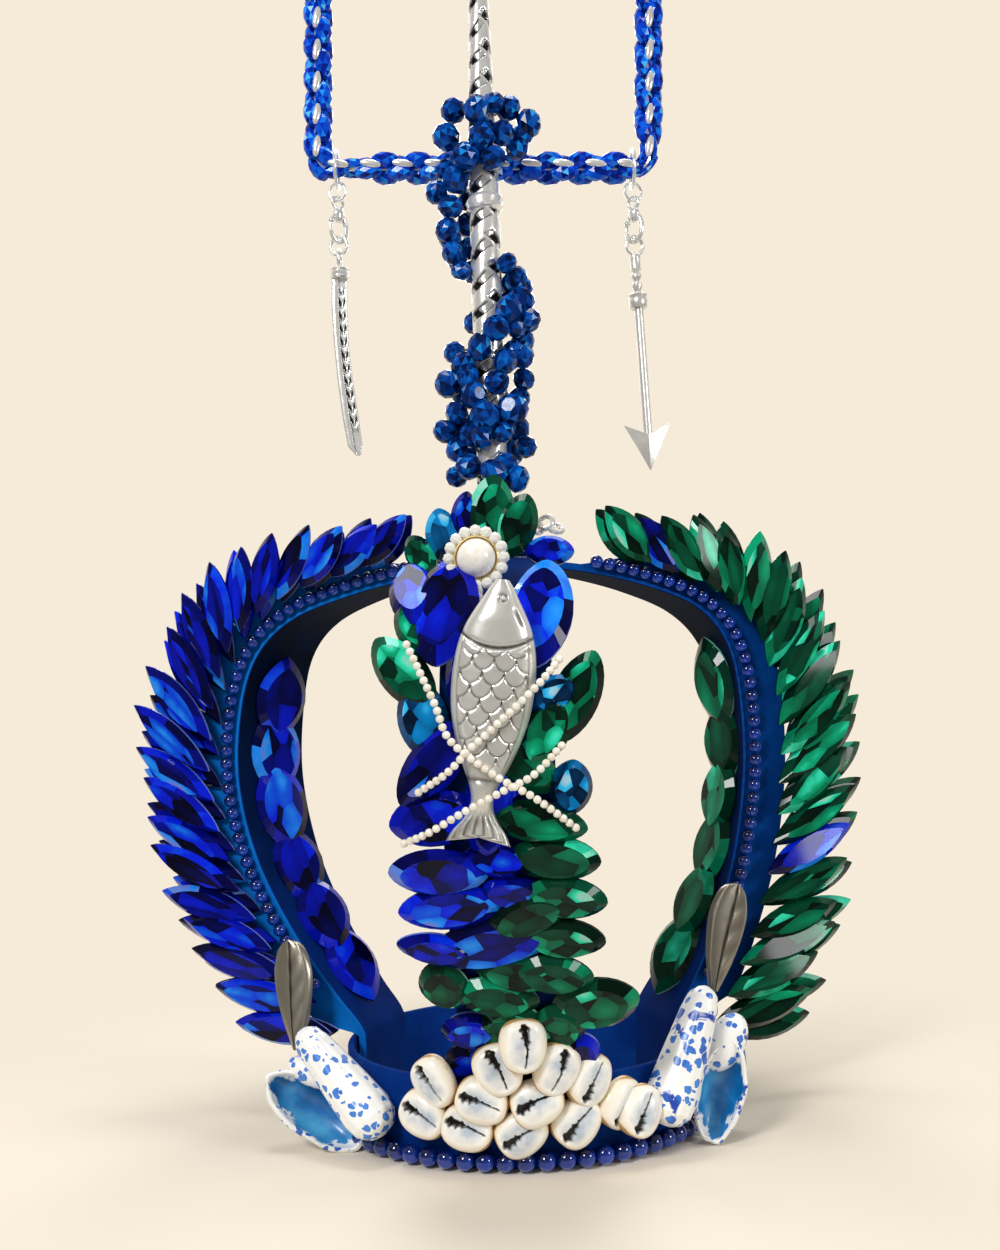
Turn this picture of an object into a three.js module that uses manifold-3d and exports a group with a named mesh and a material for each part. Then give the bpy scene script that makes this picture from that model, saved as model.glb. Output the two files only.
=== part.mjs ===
// Altar crown of painted band metal, set with stones, shells, beads and charms.
// Millimetres, +Z up, the front faces -Y and the viewer's right is +X.
// A base ring carries three half arches that meet under a cap. The cap holds a rod with a
// bead-wrapped fork, and two charms hang from the fork on rings and lobster clasps.

import * as THREE from 'three';
import { mergeVertices } from 'three/addons/utils/BufferGeometryUtils.js';
import Module from 'manifold-3d';

const wasm = await Module();
wasm.setup();

const radians = THREE.MathUtils.degToRad;
const lerp = THREE.MathUtils.lerp;
const up = new THREE.Vector3(0, 0, 1);
const across = new THREE.Vector3(1, 0, 0);
const forward = new THREE.Vector3(0, -1, 0);

// Clearance between pieces that touch.
const fit = 0.3;

// A right angle in degrees, and the steps of a search along an arch.
const quarterTurn = 90;
const searchSteps = 400;

// Base ring: a band 25 mm tall.
const ringInnerRadius = 54.5;
const ringWall = 2;
const ringHeight = 25.4;
const ringSides = 40;

// Arches: bands that rise inside the ring, swell and close in under the cap.
const archHeight = 178;
const archWall = 2.2;
const stripWidth = 30;
const stripTopWidth = 15;
const footLift = 3;
const footClearance = 1.24;
const frontReach = 86;
const leftReach = 90;
const rightReach = 82;
const frontAzimuth = 267;
const leftAzimuth = 160;
const rightAzimuth = 20;
const stripTwist = 17;
const archSteps = 22;
const taperShare = 0.6;
const ringClearance = 1.3;
const lowerShares = [[0, 0], [0.22, 0.082], [0.55, 0.212], [0.85, 0.376], [1, 0.553]];
const upperShares = [[0.985, 0.718], [0.92, 0.841], [0.78, 0.918], [0.55, 0.965], [0.3, 0.994], [0.16, 1]];

// Front flange of the side arches, with its raised lip.
const flangeWidth = 13;
const flangeTopWidth = 7;
const lipWidth = 1.4;
const lipRise = 1;
const edgeShare = 0.04;
const flangeSwell = 3;

// Cap and rod.
const capRadius = 19;
const capThickness = 3;
const socketRadius = 7.5;
const socketHeight = 12;
const rodShift = -4;
const rodRadius = 4.8;
const rodTopRadius = 2.9;
const rodHeight = 192;
const rodPitch = 9.2;
const rodGrooveShare = 0.86;
const collarHeight = 115.4;
const collarRise = 1.3;
const collarHalfLength = 3.4;
const collarShares = [[-1, 0], [-0.6, 1], [0.6, 1], [1, 0]];

// Beads on strings: radius, pitch along the string, neck between two beads.
const neckShare = 0.45;
const ringBeadRadius = 2.85;
const ringBeadPitch = 5.9;
const trimBeadRadius = 2.15;
const trimBeadPitch = 4.5;
const trimOffset = 3.8;
const trimTopRadius = 25;
const pearlBeadRadius = 1.25;
const pearlBeadPitch = 3.5;

// Stones: marquise cut, 8-sided outline, flat foil back.
const stoneDepth = 4.4;
const stoneStep = 0.7;
const stoneLength = 33;
const stoneWidth = 12;
const rightStoneOffset = 7.5;
const stoneRoot = 6.6;
const backStones = 22;
const frontStones = 24;
const backLean = 36;
const frontLean = 40;
const wallStoneLength = 28;
const wallStoneWidth = 15;
const wallStones = 6;
const columnHalfWidth = 33;
const columnStoneLength = 36;
const columnWidthShare = 0.081;
const columnLift = 0.3;
const columnFootShare = 1.878;
const bedHalfWidth = 15;
const bedSteps = 4;

// Crest: stones that stand on the front arch.
const crestOutShare = 0.36;
const crestHalfWidth = 9;
const crestLift = -1.6;

// Fork: one bent, bead-wrapped wire lashed behind the rod, above the collar.
const forkHalfWidth = 55.6;
const forkLift = 15.8;
const forkRise = 78;
const forkCorner = 5;
const forkRadius = 4.7;
const forkPitch = 6.6;
const forkNeckShare = 0.82;
const forkSeatShare = 0.9;
const forkTilt = 1.6;

// Bead strand wound down the rod, and the cluster at the crossing.
const strandBeadRadius = 3.9;
const strandPitch = 7.7;
const strandNeckShare = 0.5;
const strandSlack = 2.6;
const strandRoute = [[195, 111], [170, 103], [100, 95], [10, 88], [-40, 81], [-90, 73], [-180, 68], [-270, 66],
  [-360, 66], [-450, 62], [-540, 56], [-630, 53], [-720, 52], [-810, 48], [-900, 42], [-990, 38], [-1080, 35],
  [-1170, 31], [-1260, 26]];
const clusterBeadRadius = 4;
const clusterSpread = 12;
const clusterRise = 7.5;
const clusterWrap = 2;
const clusterShares = [[-1, 1.05], [-0.35, 1.2], [0.4, 1.2], [1, 0.85], [0.9, 0.1], [0.1, 0.05], [-0.8, 0],
  [-1.05, -0.8], [-0.5, -1.2], [0.3, -1.1]];

// Charms: rings of round wire, lobster clasps, sword and arrow.
const leftRingInset = 6.2;
const rightRingInset = 5.4;
const bigRingRadius = 6;
const bigRingWire = 0.6;
const linkRadius = 3;
const linkWire = 0.5;
const linkTurn = 20;
const claspTurn = 40;
const eyeRadius = 2;
const eyeWire = 0.55;
const hookWide = 3.1;
const hookTall = 4.6;
const hookWire = 0.85;
const hookDrop = 9.3;
const hookStart = 75;
const hookEnd = -165;
const claspBodyRadius = 2;
const leverWire = 0.6;
const leverPivotU = -1.1;
const leverPivotHeight = -4.9;
const leverTurns = [128, 150, 168, 186];
const leverShares = [1, 1, 1.7, 1, 0.9];
const claspThick = 1.6;
const claspLength = 7;
const claspOffsetShare = 0.1;
const claspSlotWidth = 4;
const claspShares = [[0.36, 0.35], [0.46, 0.85], [0.64, 1], [0.86, 0.85], [1, 0.45]];
const charmLoopRadius = 3;
const charmLoopWire = 0.65;

// Sword: 60 mm blade under a collar.
const bladeLength = 58;
const bladeWidth = 5.2;
const bladeThick = 1.9;
const bladeSweep = 4.6;
const sectionShares = [[-0.5, 0], [-0.15, -0.5], [0.35, -0.3], [0.5, 0], [0.35, 0.3], [-0.15, 0.5]];
const bladeShares = [[0, 0, 1], [0.18, -0.1, 1], [0.4, 0, 0.95], [0.6, 0.28, 1], [0.8, 0.68, 1.05],
  [0.95, 1.02, 0.95], [1, 1.25, 0.3]];
const hiltOverlapShare = 0.6;
const hiltRadius = 3.3;
const hiltHeight = 3.6;

// Arrow: connector, cap, shaft and a three-edged head.
const connectorLength = 13;
const connectorRadius = 1.7;
const connectorShares = [[0, 0.5], [0.05, 1], [0.42, 1], [0.47, 0.55], [0.6, 1], [0.72, 0.5], [0.86, 1],
  [1, 0.6]];
const arrowOverlap = 0.3;
const arrowCapRadius = 3.2;
const arrowCapHeight = 5.6;
const shaftLength = 42;
const shaftRadius = 1.5;
const shaftSinkShare = 0.15;
const headLength = 16;
const headHalfWidth = 8;
const headThick = 3.4;
const headShares = [[0, 0.8], [1, -0.2], [0.25, 0], [-0.25, 0], [-1, -0.2]];
const headRidgeShare = 0.05;

// Fish, pearl and pearl strands on the front.
const fishLength = 68;
const fishHalfWidth = 12;
const fishThick = 4.6;
const fishTilt = 7.5;
const fishHeightShare = 0.73;
const fishOffset = -4;
const fishShares = [[0, 0.05], [0.07, 0.4], [0.18, 0.76], [0.36, 1], [0.54, 0.92], [0.7, 0.58], [0.82, 0.3],
  [0.9, 0.26]];
const tailShares = [[-0.2, 0.84], [0.2, 0.84], [0.95, 1], [0.45, 0.985], [0, 0.955], [-0.45, 0.985], [-0.95, 1]];
const tailSpread = 10;
const tailThick = 2.4;
const pearlRadius = 5.3;
const pearlRise = 4.6;
const dropLength = 3.6;
const bezelRadius = 7.3;
const bezelBeadRadius = 1.6;
const bezelBeads = 16;
const bezelPlate = 1.2;
const pearlHeightShare = 0.961;
const pearlOffset = -7.5;

// Shells and petals.
const cowrieLength = 15.4;
const cowrieWidth = 12.2;
const cowrieThick = 9;
const cowrieShares = [[-0.5, 0.2], [-0.4, 0.66], [-0.2, 0.95], [0.1, 1], [0.36, 0.72], [0.5, 0.25]];
const slitShare = 0.82;
const mouthShare = 0.8;
const slitWidth = 1.5;
const slitDepth = 1.6;
const coneRadius = 7.4;
const coneFlatShare = 0.92;
const coneFoot = 9;
const coneLean = 5;
const coneSeatShare = 0.8;
const leftConeRise = 29;
const rightConeRise = 38;
const leftConeTop = 60;
const leftConeFoot = 43;
const rightConeTop = 56;
const rightConeFoot = 40;
const openShellLength = 36;
const openShellWidth = 20;
const openShellThick = 9;
const openShellWall = 1.6;
const openShellSet = 72;
const leftOpenSide = 61.5;
const rightOpenSide = 59;
const leftOpenHeight = 13;
const rightOpenHeight = 20;
const leftOpenTurn = 30;
const rightOpenTurn = 24;
const leftOpenLean = -52;
const rightOpenLean = 14;
const leftOpenTilt = -30;
const rightOpenTilt = -12;
const petalLength = 33;
const petalOffset = 8.5;
const leftPetalHeight = 29;
const rightPetalHeight = 44;
const petalWidth = 13.5;
const petalThick = 3.2;

// Finishes.
const paint = { color: 0x0b3f86, roughness: 0.38, metalness: 0.15 };
const blueGlass = { color: 0x0a1fa8, roughness: 0.1, metalness: 0.1 };
const greenGlass = { color: 0x04693f, roughness: 0.1, metalness: 0.1 };
const darkBead = { color: 0x0c2f6e, roughness: 0.15, metalness: 0.2 };
const silver = { color: 0xc9ccd0, roughness: 0.25, metalness: 0.9 };
const pewter = { color: 0x8d8d88, roughness: 0.4, metalness: 0.85 };
const pearlWhite = { color: 0xf2ece0, roughness: 0.3, metalness: 0 };
const shellWhite = { color: 0xeee8dc, roughness: 0.45, metalness: 0 };
const paintedShell = { color: 0xe9ecf2, roughness: 0.5, metalness: 0 };

const crown = new THREE.Group();
const hinges = {};

// Points the faces of a closed geometry outwards.
function outward(geometry) {
  const place = geometry.getAttribute('position');
  const index = geometry.index.array;
  const corner = (i) => new THREE.Vector3().fromBufferAttribute(place, index[i]);
  let volume = 0;
  for (let i = 0; i < index.length; i += 3) volume += corner(i).dot(corner(i + 1).cross(corner(i + 2)));
  if (volume < 0) {
    for (let i = 0; i < index.length; i += 3) [index[i], index[i + 1]] = [index[i + 1], index[i]];
  }
  return geometry;
}

// Joins a row of rings of points into a skin with flat ends, or into a closed loop.
function loft(rings, closed = false) {
  const sides = rings[0].length;
  const index = [];
  const steps = closed ? rings.length : rings.length - 1;
  for (let i = 0; i < steps; i++) {
    const a = i * sides;
    const b = ((i + 1) % rings.length) * sides;
    for (let j = 0; j < sides; j++) {
      const k = (j + 1) % sides;
      index.push(a + j, b + j, a + k, a + k, b + j, b + k);
    }
  }
  const last = (rings.length - 1) * sides;
  for (let j = 1; j < sides - 1 && !closed; j++) index.push(0, j, j + 1, last, last + j + 1, last + j);
  const geometry = new THREE.BufferGeometry().setFromPoints(rings.flat());
  geometry.setIndex(index);
  return outward(geometry);
}

// An ellipse of points about a centre, in the plane of two unit vectors.
function ellipse(centre, x, y, radiusX, radiusY, sides, phase = 0) {
  return Array.from({ length: sides }, (_, j) => {
    const angle = (2 * Math.PI * (j + phase)) / sides;
    return centre.clone()
      .addScaledVector(x, radiusX * Math.cos(angle))
      .addScaledVector(y, radiusY * Math.sin(angle));
  });
}

// A curve whose point at t comes from a function.
class FormulaCurve extends THREE.Curve {
  constructor(point) {
    super();
    this.point = point;
  }
  getPoint(t, target = new THREE.Vector3()) {
    return target.copy(this.point(t));
  }
}

// A tube whose radius is a function of the step along a curve.
function tube(curve, steps, radiusAt, sides, closed = false, phaseAt = () => 0) {
  const frames = curve.computeFrenetFrames(steps, closed);
  const rings = [];
  for (let i = 0; i < (closed ? steps : steps + 1); i++) {
    const size = radiusAt(i, i / steps);
    rings.push(ellipse(curve.getPointAt(i / steps), frames.normals[i], frames.binormals[i], size, size, sides,
      phaseAt(i)));
  }
  return loft(rings, closed);
}

// Beads on a string: the tube swells at each bead and draws in between two.
function beadString(curve, pitch, radius, sides, closed = false, neck = neckShare) {
  const beads = Math.round(curve.getLength() / pitch);
  return tube(curve, 2 * beads, (i) => radius * (i % 2 ? 1 : neck), sides, closed);
}

// Solids from closed geometries, and geometries back from solids.
function solid(geometry) {
  const bare = geometry.clone().deleteAttribute('normal').deleteAttribute('uv');
  const merged = mergeVertices(bare);
  return new wasm.Manifold(new wasm.Mesh({
    numProp: 3,
    vertProperties: merged.getAttribute('position').array,
    triVerts: new Uint32Array(merged.index.array),
  }));
}

function fromSolid(body) {
  const mesh = body.getMesh();
  const places = [];
  for (let i = 0; i < mesh.vertProperties.length; i += mesh.numProp) {
    places.push(...mesh.vertProperties.slice(i, i + 3));
  }
  const geometry = new THREE.BufferGeometry();
  geometry.setAttribute('position', new THREE.Float32BufferAttribute(places, 3));
  geometry.setIndex(Array.from(mesh.triVerts));
  return geometry;
}

const union = (geometries) => fromSolid(geometries.map(solid).reduce((a, b) => a.add(b)));
const cut = (geometry, tools) => fromSolid(tools.map(solid).reduce((a, b) => a.subtract(b), solid(geometry)));

function addMesh(name, geometry, finish) {
  geometry.computeVertexNormals();
  const mesh = new THREE.Mesh(geometry, new THREE.MeshStandardMaterial(finish));
  mesh.name = name;
  crown.add(mesh);
}

// Base ring.
const ringOuterRadius = ringInnerRadius + ringWall;
const ringProfile = [
  [ringInnerRadius, 0], [ringOuterRadius, 0], [ringOuterRadius, ringHeight], [ringInnerRadius, ringHeight],
  [ringInnerRadius, 0],
].map(([x, y]) => new THREE.Vector2(x, y));
const baseRing = new THREE.LatheGeometry(ringProfile, ringSides);
baseRing.rotateX(Math.PI / 2);
addMesh('base_ring', baseRing, paint);

const ringBeadTrack = ringOuterRadius + ringBeadRadius + fit;
const circleTrack = (radius, height) => new FormulaCurve((t) => new THREE.Vector3(
  radius * Math.cos(2 * Math.PI * t), radius * Math.sin(2 * Math.PI * t), height));
addMesh('ring_beads', beadString(circleTrack(ringBeadTrack, ringBeadRadius + fit), ringBeadPitch,
  ringBeadRadius, 4, true), darkBead);

// One half arch. Its line runs up the inner face of the band, in a plane through the crown's axis,
// straight up inside the ring and then out in shares of the reach and of the rise above the ring.
function archLine(azimuth, reach, rearward) {
  const footRadius = Math.sqrt((ringInnerRadius - footClearance) ** 2 - (stripWidth / 2) ** 2) - archWall;
  const start = ringHeight + ringClearance;
  const points = [new THREE.Vector2(footRadius, footLift), new THREE.Vector2(footRadius, start / 2)];
  for (const [out, rise] of lowerShares) {
    points.push(new THREE.Vector2(lerp(footRadius, reach, out), lerp(start, archHeight, rise)));
  }
  for (const [out, rise] of upperShares) {
    points.push(new THREE.Vector2(out * reach, lerp(start, archHeight, rise)));
  }
  const line = new THREE.SplineCurve(points);
  const out = new THREE.Vector3(Math.cos(radians(azimuth)), Math.sin(radians(azimuth)), 0);
  const rear = new THREE.Vector3(-out.y, out.x, 0).multiplyScalar(rearward);
  const world = (v) => out.clone().multiplyScalar(v.x).addScaledVector(up, v.y);
  return {
    out,
    rear,
    front: rear.clone().negate(),
    length: line.getLength(),
    at(t) {
      const point = line.getPointAt(t);
      const tangent = line.getTangentAt(t);
      const width = lerp(stripWidth, stripTopWidth, THREE.MathUtils.smoothstep(t, taperShare, 1));
      return {
        radius: point.x,
        height: point.y,
        width,
        place: world(point),
        rise: world(tangent),
        normal: world(new THREE.Vector2(tangent.y, -tangent.x)),
      };
    },
    // The lowest or highest t at which a test holds.
    find(test, descending = false) {
      const tries = Array.from({ length: searchSteps + 1 }, (_, i) => i / searchSteps);
      if (descending) tries.reverse();
      return tries.find((t) => test(this.at(t)));
    },
  };
}

const leftArch = archLine(leftAzimuth, leftReach, -1);
const rightArch = archLine(rightAzimuth, rightReach, 1);
const frontArch = archLine(frontAzimuth, frontReach, 1);

// The band's width direction, turned clockwise from above most at half height.
const stripDirection = (arch, t, twist) => arch.rear.clone()
  .applyAxisAngle(up, -radians(twist * Math.sin(Math.PI * t) ** 2));

// A place on the front face of a side arch: n outwards from the lip, f in front of the flange.
function onFlange(arch, t, n, f) {
  const s = arch.at(t);
  return s.place.clone()
    .addScaledVector(stripDirection(arch, t, stripTwist), -s.width / 2)
    .addScaledVector(s.normal, n)
    .addScaledVector(arch.front, f);
}

function frontBand(arch, grow = 0) {
  const rings = [];
  for (let i = 0; i <= archSteps; i++) {
    const s = arch.at(i / archSteps);
    const point = (n, d) => s.place.clone().addScaledVector(s.normal, n).addScaledVector(arch.rear, d);
    const side = s.width / 2 + grow;
    rings.push([point(-grow, -side), point(archWall + grow, -side), point(archWall + grow, side),
      point(-grow, side)]);
  }
  return loft(rings);
}

// A side arch: the band, and on its front edge the flange and the lip, which rise clear of the
// ring and run out before the cap. The section starts at its inner corner.
function flangedBand(arch) {
  const low = arch.find((s) => s.height > ringHeight + fit);
  const high = arch.find((s) => s.radius > capRadius - rodShift, true);
  const stations = [0, low / 2];
  for (let i = 0; i <= archSteps; i++) stations.push(lerp(low, 1, i / archSteps));
  const rings = [];
  for (const t of stations) {
    const s = arch.at(t);
    const share = THREE.MathUtils.clamp((t - low) / (high - low), 0, 1);
    const swell = lerp(edgeShare, 1, Math.min(1, Math.sin(Math.PI * share) * flangeSwell));
    const full = lerp(flangeWidth, flangeTopWidth, THREE.MathUtils.smoothstep(share, taperShare, 1));
    const reach = lerp(archWall, full, swell);
    const rear = (n) => s.place.clone()
      .addScaledVector(stripDirection(arch, t, stripTwist), s.width / 2)
      .addScaledVector(s.normal, n);
    rings.push([
      onFlange(arch, t, archWall, -archWall), onFlange(arch, t, reach, -archWall),
      onFlange(arch, t, reach, 0), onFlange(arch, t, lipWidth, 0),
      onFlange(arch, t, lipWidth, lipRise * swell), onFlange(arch, t, 0, lipRise * swell),
      rear(0), rear(archWall),
    ]);
  }
  return loft(rings);
}

addMesh('front_arch', frontBand(frontArch), paint);
addMesh('left_arch', flangedBand(leftArch), paint);
addMesh('right_arch', flangedBand(rightArch), paint);

// Bead rows along the lips.
function trimRow(arch) {
  const low = arch.find((s) => s.height > ringHeight + flangeWidth);
  const high = arch.find((s) => s.radius > trimTopRadius, true);
  return beadString(new FormulaCurve((t) => onFlange(arch, lerp(low, high, t), trimOffset,
    trimBeadRadius + fit)), trimBeadPitch, trimBeadRadius, 4);
}
addMesh('left_bead_trim', trimRow(leftArch), darkBead);
addMesh('right_bead_trim', trimRow(rightArch), darkBead);

// A marquise stone: its root tip at the origin, pointing along +X, table towards +Z. The outline
// is given in shares of the length and the width, fine or, in the sprays, plain.
const fineShares = [[0, 0], [0.22, 0.36], [0.5, 0.5], [0.78, 0.36], [1, 0], [0.78, -0.36], [0.5, -0.5],
  [0.22, -0.36]];
const plainShares = [[0, 0], [0.3, 0.5], [0.7, 0.5], [1, 0], [0.7, -0.5], [0.3, -0.5]];
const tableShare = 0.6;
function stone(length, width, depth = stoneDepth, shares = fineShares) {
  const ringOf = (scale, z) => shares.map(([x, y]) => new THREE.Vector3(
    length * (0.5 + (x - 0.5) * scale), width * y * scale, z));
  return loft([ringOf(1, 0), ringOf(tableShare, depth)]);
}

// Moves a stone so that its root is at a place, it points along one vector and faces another.
function setStone(geometry, root, pointing, facing) {
  const x = pointing.clone().normalize();
  const z = facing.clone().addScaledVector(x, -facing.dot(x)).normalize();
  const y = new THREE.Vector3().crossVectors(z, x);
  return geometry.applyMatrix4(new THREE.Matrix4().makeBasis(x, y, z).setPosition(root));
}

// Values of t, from low to high, that are evenly spaced on the flange's plane at n from the lip.
function evenStations(arch, low, high, count, n) {
  const line = new FormulaCurve((t) => onFlange(arch, lerp(low, high, t), n, 0));
  return Array.from({ length: count }, (_, k) => lerp(low, high, line.getUtoTmapping(k / (count - 1))));
}

// A layer of stones fanning outwards along a side arch, as two sprays that meet half way.
const sprayLift = 6.6;
const sprayTopRadius = 38;
const sprayTaperShare = 0.7;
const topStoneShare = 0.66;
function sprayLayer(arch, count, lean, length, offset, base) {
  const low = arch.find((s) => s.height > ringHeight + sprayLift);
  const high = arch.find((s) => s.radius > sprayTopRadius, true);
  const stations = evenStations(arch, low, high, count, offset + length / 2);
  const make = (k, grow) => {
    const share = k / (count - 1);
    const t = stations[k];
    const s = arch.at(t);
    const taper = THREE.MathUtils.smoothstep(share, sprayTaperShare, 1);
    const size = lerp(1, topStoneShare, taper);
    const seat = lerp(offset, stoneRoot, taper);
    const pointing = s.normal.clone().multiplyScalar(Math.cos(radians(lean)))
      .addScaledVector(s.rise, Math.sin(radians(lean)));
    const root = onFlange(arch, t, seat, base + (k % 2) * stoneStep - grow)
      .addScaledVector(pointing, -grow);
    return setStone(stone(length * size + 2 * grow, stoneWidth + 2 * grow, stoneDepth * size + 2 * grow,
      plainShares), root, pointing, arch.front);
  };
  const half = Math.floor(count / 2);
  const lower = Array.from({ length: half }, (_, k) => make(k, 0));
  const upper = Array.from({ length: count - half }, (_, k) => make(k + half, 0));
  upper[0] = cut(upper[0], [make(half - 1, fit)]);
  return [union(lower), union(upper)];
}

const frontLayerBase = fit + stoneDepth + stoneStep + 2 * fit;
for (const [side, arch, offset, finish] of [
  ['left', leftArch, 0, blueGlass],
  ['right', rightArch, rightStoneOffset, greenGlass],
]) {
  const [lowerBack, upperBack] = sprayLayer(arch, backStones, backLean, stoneLength, stoneRoot + offset, fit);
  const [lowerFront, upperFront] = sprayLayer(arch, frontStones, frontLean, stoneLength, stoneRoot,
    frontLayerBase);
  addMesh(`${side}_stones_back_lower`, lowerBack, finish);
  addMesh(`${side}_stones_back_upper`, upperBack, finish);
  addMesh(`${side}_stones_front_lower`, lowerFront, finish);
  addMesh(`${side}_stones_front_upper`, upperFront, finish);
}

// Large navettes down the inner face of a side arch, each tucked under the next. A stone's ends
// rest on the band, which curves away from its middle.
const wallLowShare = 0.213;
const wallHighShare = 0.843;
const wallLeanShare = 0.08;
function wallRow(arch) {
  const low = arch.find((s) => s.height > wallLowShare * archHeight);
  const high = arch.find((s) => s.height > wallHighShare * archHeight);
  const stones = Array.from({ length: wallStones }, (_, k) => {
    const t = lerp(low, high, (k + 0.5) / wallStones);
    const s = arch.at(t);
    const inward = s.normal.clone().negate();
    const strip = stripDirection(arch, t, stripTwist);
    const facing = new THREE.Vector3().crossVectors(s.rise, strip).normalize();
    if (facing.dot(inward) < 0) facing.negate();
    const pointing = s.rise.clone().addScaledVector(strip, wallLeanShare).normalize();
    const halfStep = wallStoneLength / (2 * arch.length);
    const hollow = Math.max(...[-halfStep, halfStep].map((step) => arch.at(t + step).place.sub(s.place)
      .dot(facing)));
    const root = s.place.clone()
      .addScaledVector(facing, hollow + fit + (k % 2) * stoneStep)
      .addScaledVector(pointing, -wallStoneLength / 2);
    return setStone(stone(wallStoneLength, wallStoneWidth, stoneDepth, plainShares), root, pointing, facing);
  });
  return union(stones);
}
addMesh('left_wall_stones', wallRow(leftArch), blueGlass);
addMesh('right_wall_stones', wallRow(rightArch), greenGlass);

// Stones down the front arch, by their shares of the column's half width and of the arch's
// height (at the foot, of the foot's top), the way they point in degrees from the viewer's right, and shares of length and width.
const blueColumnShares = [
  [-0.62, 0.88, 96, 0.95, 1.15], [-0.62, 0.79, 128, 0.7, 0.9], [-0.5, 0.725, 100, 0.65, 1],
  [-0.46, 0.665, 205, 0.85, 0.9], [-0.48, 0.61, 190, 0.9, 0.85], [-0.5, 0.555, 196, 0.95, 0.85],
  [-0.47, 0.5, 188, 0.95, 0.85], [-0.46, 0.45, 184, 1, 0.9], [-0.45, 0.4, 178, 1, 0.85],
  [-0.45, 0.35, 172, 1.05, 0.85], [-0.44, 0.3, 166, 1.05, 0.85],
];
const greenColumnShares = [
  [0.55, 0.88, 84, 0.95, 1.15], [0.6, 0.79, 55, 0.75, 0.9], [0.45, 0.725, 70, 0.8, 1],
  [0.5, 0.665, -60, 0.7, 0.9], [0.45, 0.61, -20, 0.85, 0.9], [0.48, 0.555, -14, 0.9, 0.85],
  [0.47, 0.5, -10, 0.9, 0.85], [0.46, 0.45, -8, 0.9, 0.85], [0.45, 0.4, -4, 0.95, 0.85],
  [0.45, 0.35, 0, 0.95, 0.85], [0.44, 0.3, 6, 0.95, 0.85],
];
const footColumnShares = [
  [-0.42, 0.877, 168, 0.9, 0.85], [0.1, 0.896, 20, 0.8, 0.9], [0.55, 0.877, 14, 1.05, 0.9],
  [-0.1, 0.746, 175, 0.8, 0.85], [0.35, 0.709, 10, 0.8, 0.9], [-0.4, 0.69, 115, 0.6, 0.9],
];
function columnSpray(rows, tall) {
  const stones = rows.map(([side, rise, angle, longShare, wideShare], k) => {
    const t = frontArch.find((s) => s.height > rise * tall);
    const s = frontArch.at(t);
    const pointing = frontArch.rear.clone().multiplyScalar(Math.cos(radians(angle)))
      .addScaledVector(s.rise, Math.sin(radians(angle)));
    const length = columnStoneLength * longShare;
    const root = s.place.clone()
      .addScaledVector(s.normal, archWall + columnLift + (k % 2) * stoneStep)
      .addScaledVector(frontArch.rear, side * columnHalfWidth)
      .addScaledVector(pointing, -length / 2);
    return setStone(stone(length, archHeight * columnWidthShare * wideShare, stoneDepth, plainShares), root,
      pointing, s.normal);
  });
  return union(stones);
}

// Keeps what lies on one side of the column's middle plane, or above or below a height.
function clip(geometry, centre, size, turn = 0) {
  const block = new THREE.BoxGeometry(size.x, size.y, size.z);
  block.rotateZ(turn).translate(centre.x, centre.y, centre.z);
  return fromSolid(solid(geometry).intersect(solid(block)));
}
const columnFoot = ringHeight * columnFootShare;
const columnTurn = radians(frontAzimuth) - radians(3 * quarterTurn);
function columnHalf(rows, side) {
  const room = 2 * archHeight;
  const centre = frontArch.rear.clone().multiplyScalar((side * (room + fit)) / 2)
    .addScaledVector(up, room / 2 + columnFoot);
  return clip(columnSpray(rows, archHeight), centre, new THREE.Vector3(room, 2 * room, room), columnTurn);
}
addMesh('column_blue_stones', columnHalf(blueColumnShares, -1), blueGlass);
addMesh('column_green_stones', columnHalf(greenColumnShares, 1), greenGlass);

// Crest: a fan of stones that stands on the front arch, before the cap.
const crestShares = [[-1, 146, 0.55], [-0.5, 118, 0.62], [0, 95, 0.82], [0.5, 72, 0.7], [0.9, 36, 0.5]];
const crestStones = crestShares.map(([side, angle, longShare], k) => {
  const pointing = frontArch.rear.clone().multiplyScalar(Math.cos(radians(angle)))
    .addScaledVector(up, Math.sin(radians(angle)));
  const root = up.clone().multiplyScalar(archHeight + archWall + crestLift)
    .addScaledVector(frontArch.out, crestOutShare * frontReach + (k % 2) * stoneStep)
    .addScaledVector(frontArch.rear, side * crestHalfWidth);
  return setStone(stone(stoneLength * longShare, stoneWidth), root, pointing, frontArch.out);
});
addMesh('crest_stones', union(crestStones), greenGlass);

// Cap with the rod's socket.
const capBottom = archHeight + archWall + fit;
const rodBottom = capBottom + capThickness + fit;
function turned(profile, sides) {
  const geometry = new THREE.LatheGeometry(profile.map(([x, y]) => new THREE.Vector2(x, y)), sides);
  return geometry.rotateX(Math.PI / 2);
}
addMesh('crown_cap', turned([
  [0, capBottom], [capRadius, capBottom], [capRadius, capBottom + capThickness],
  [socketRadius, capBottom + 2 * capThickness], [socketRadius, capBottom + socketHeight],
  [rodRadius + fit, capBottom + socketHeight], [rodRadius + fit, capBottom + capThickness],
  [0, capBottom + capThickness],
], 16).translate(rodShift, 0, 0), paint);

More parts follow.
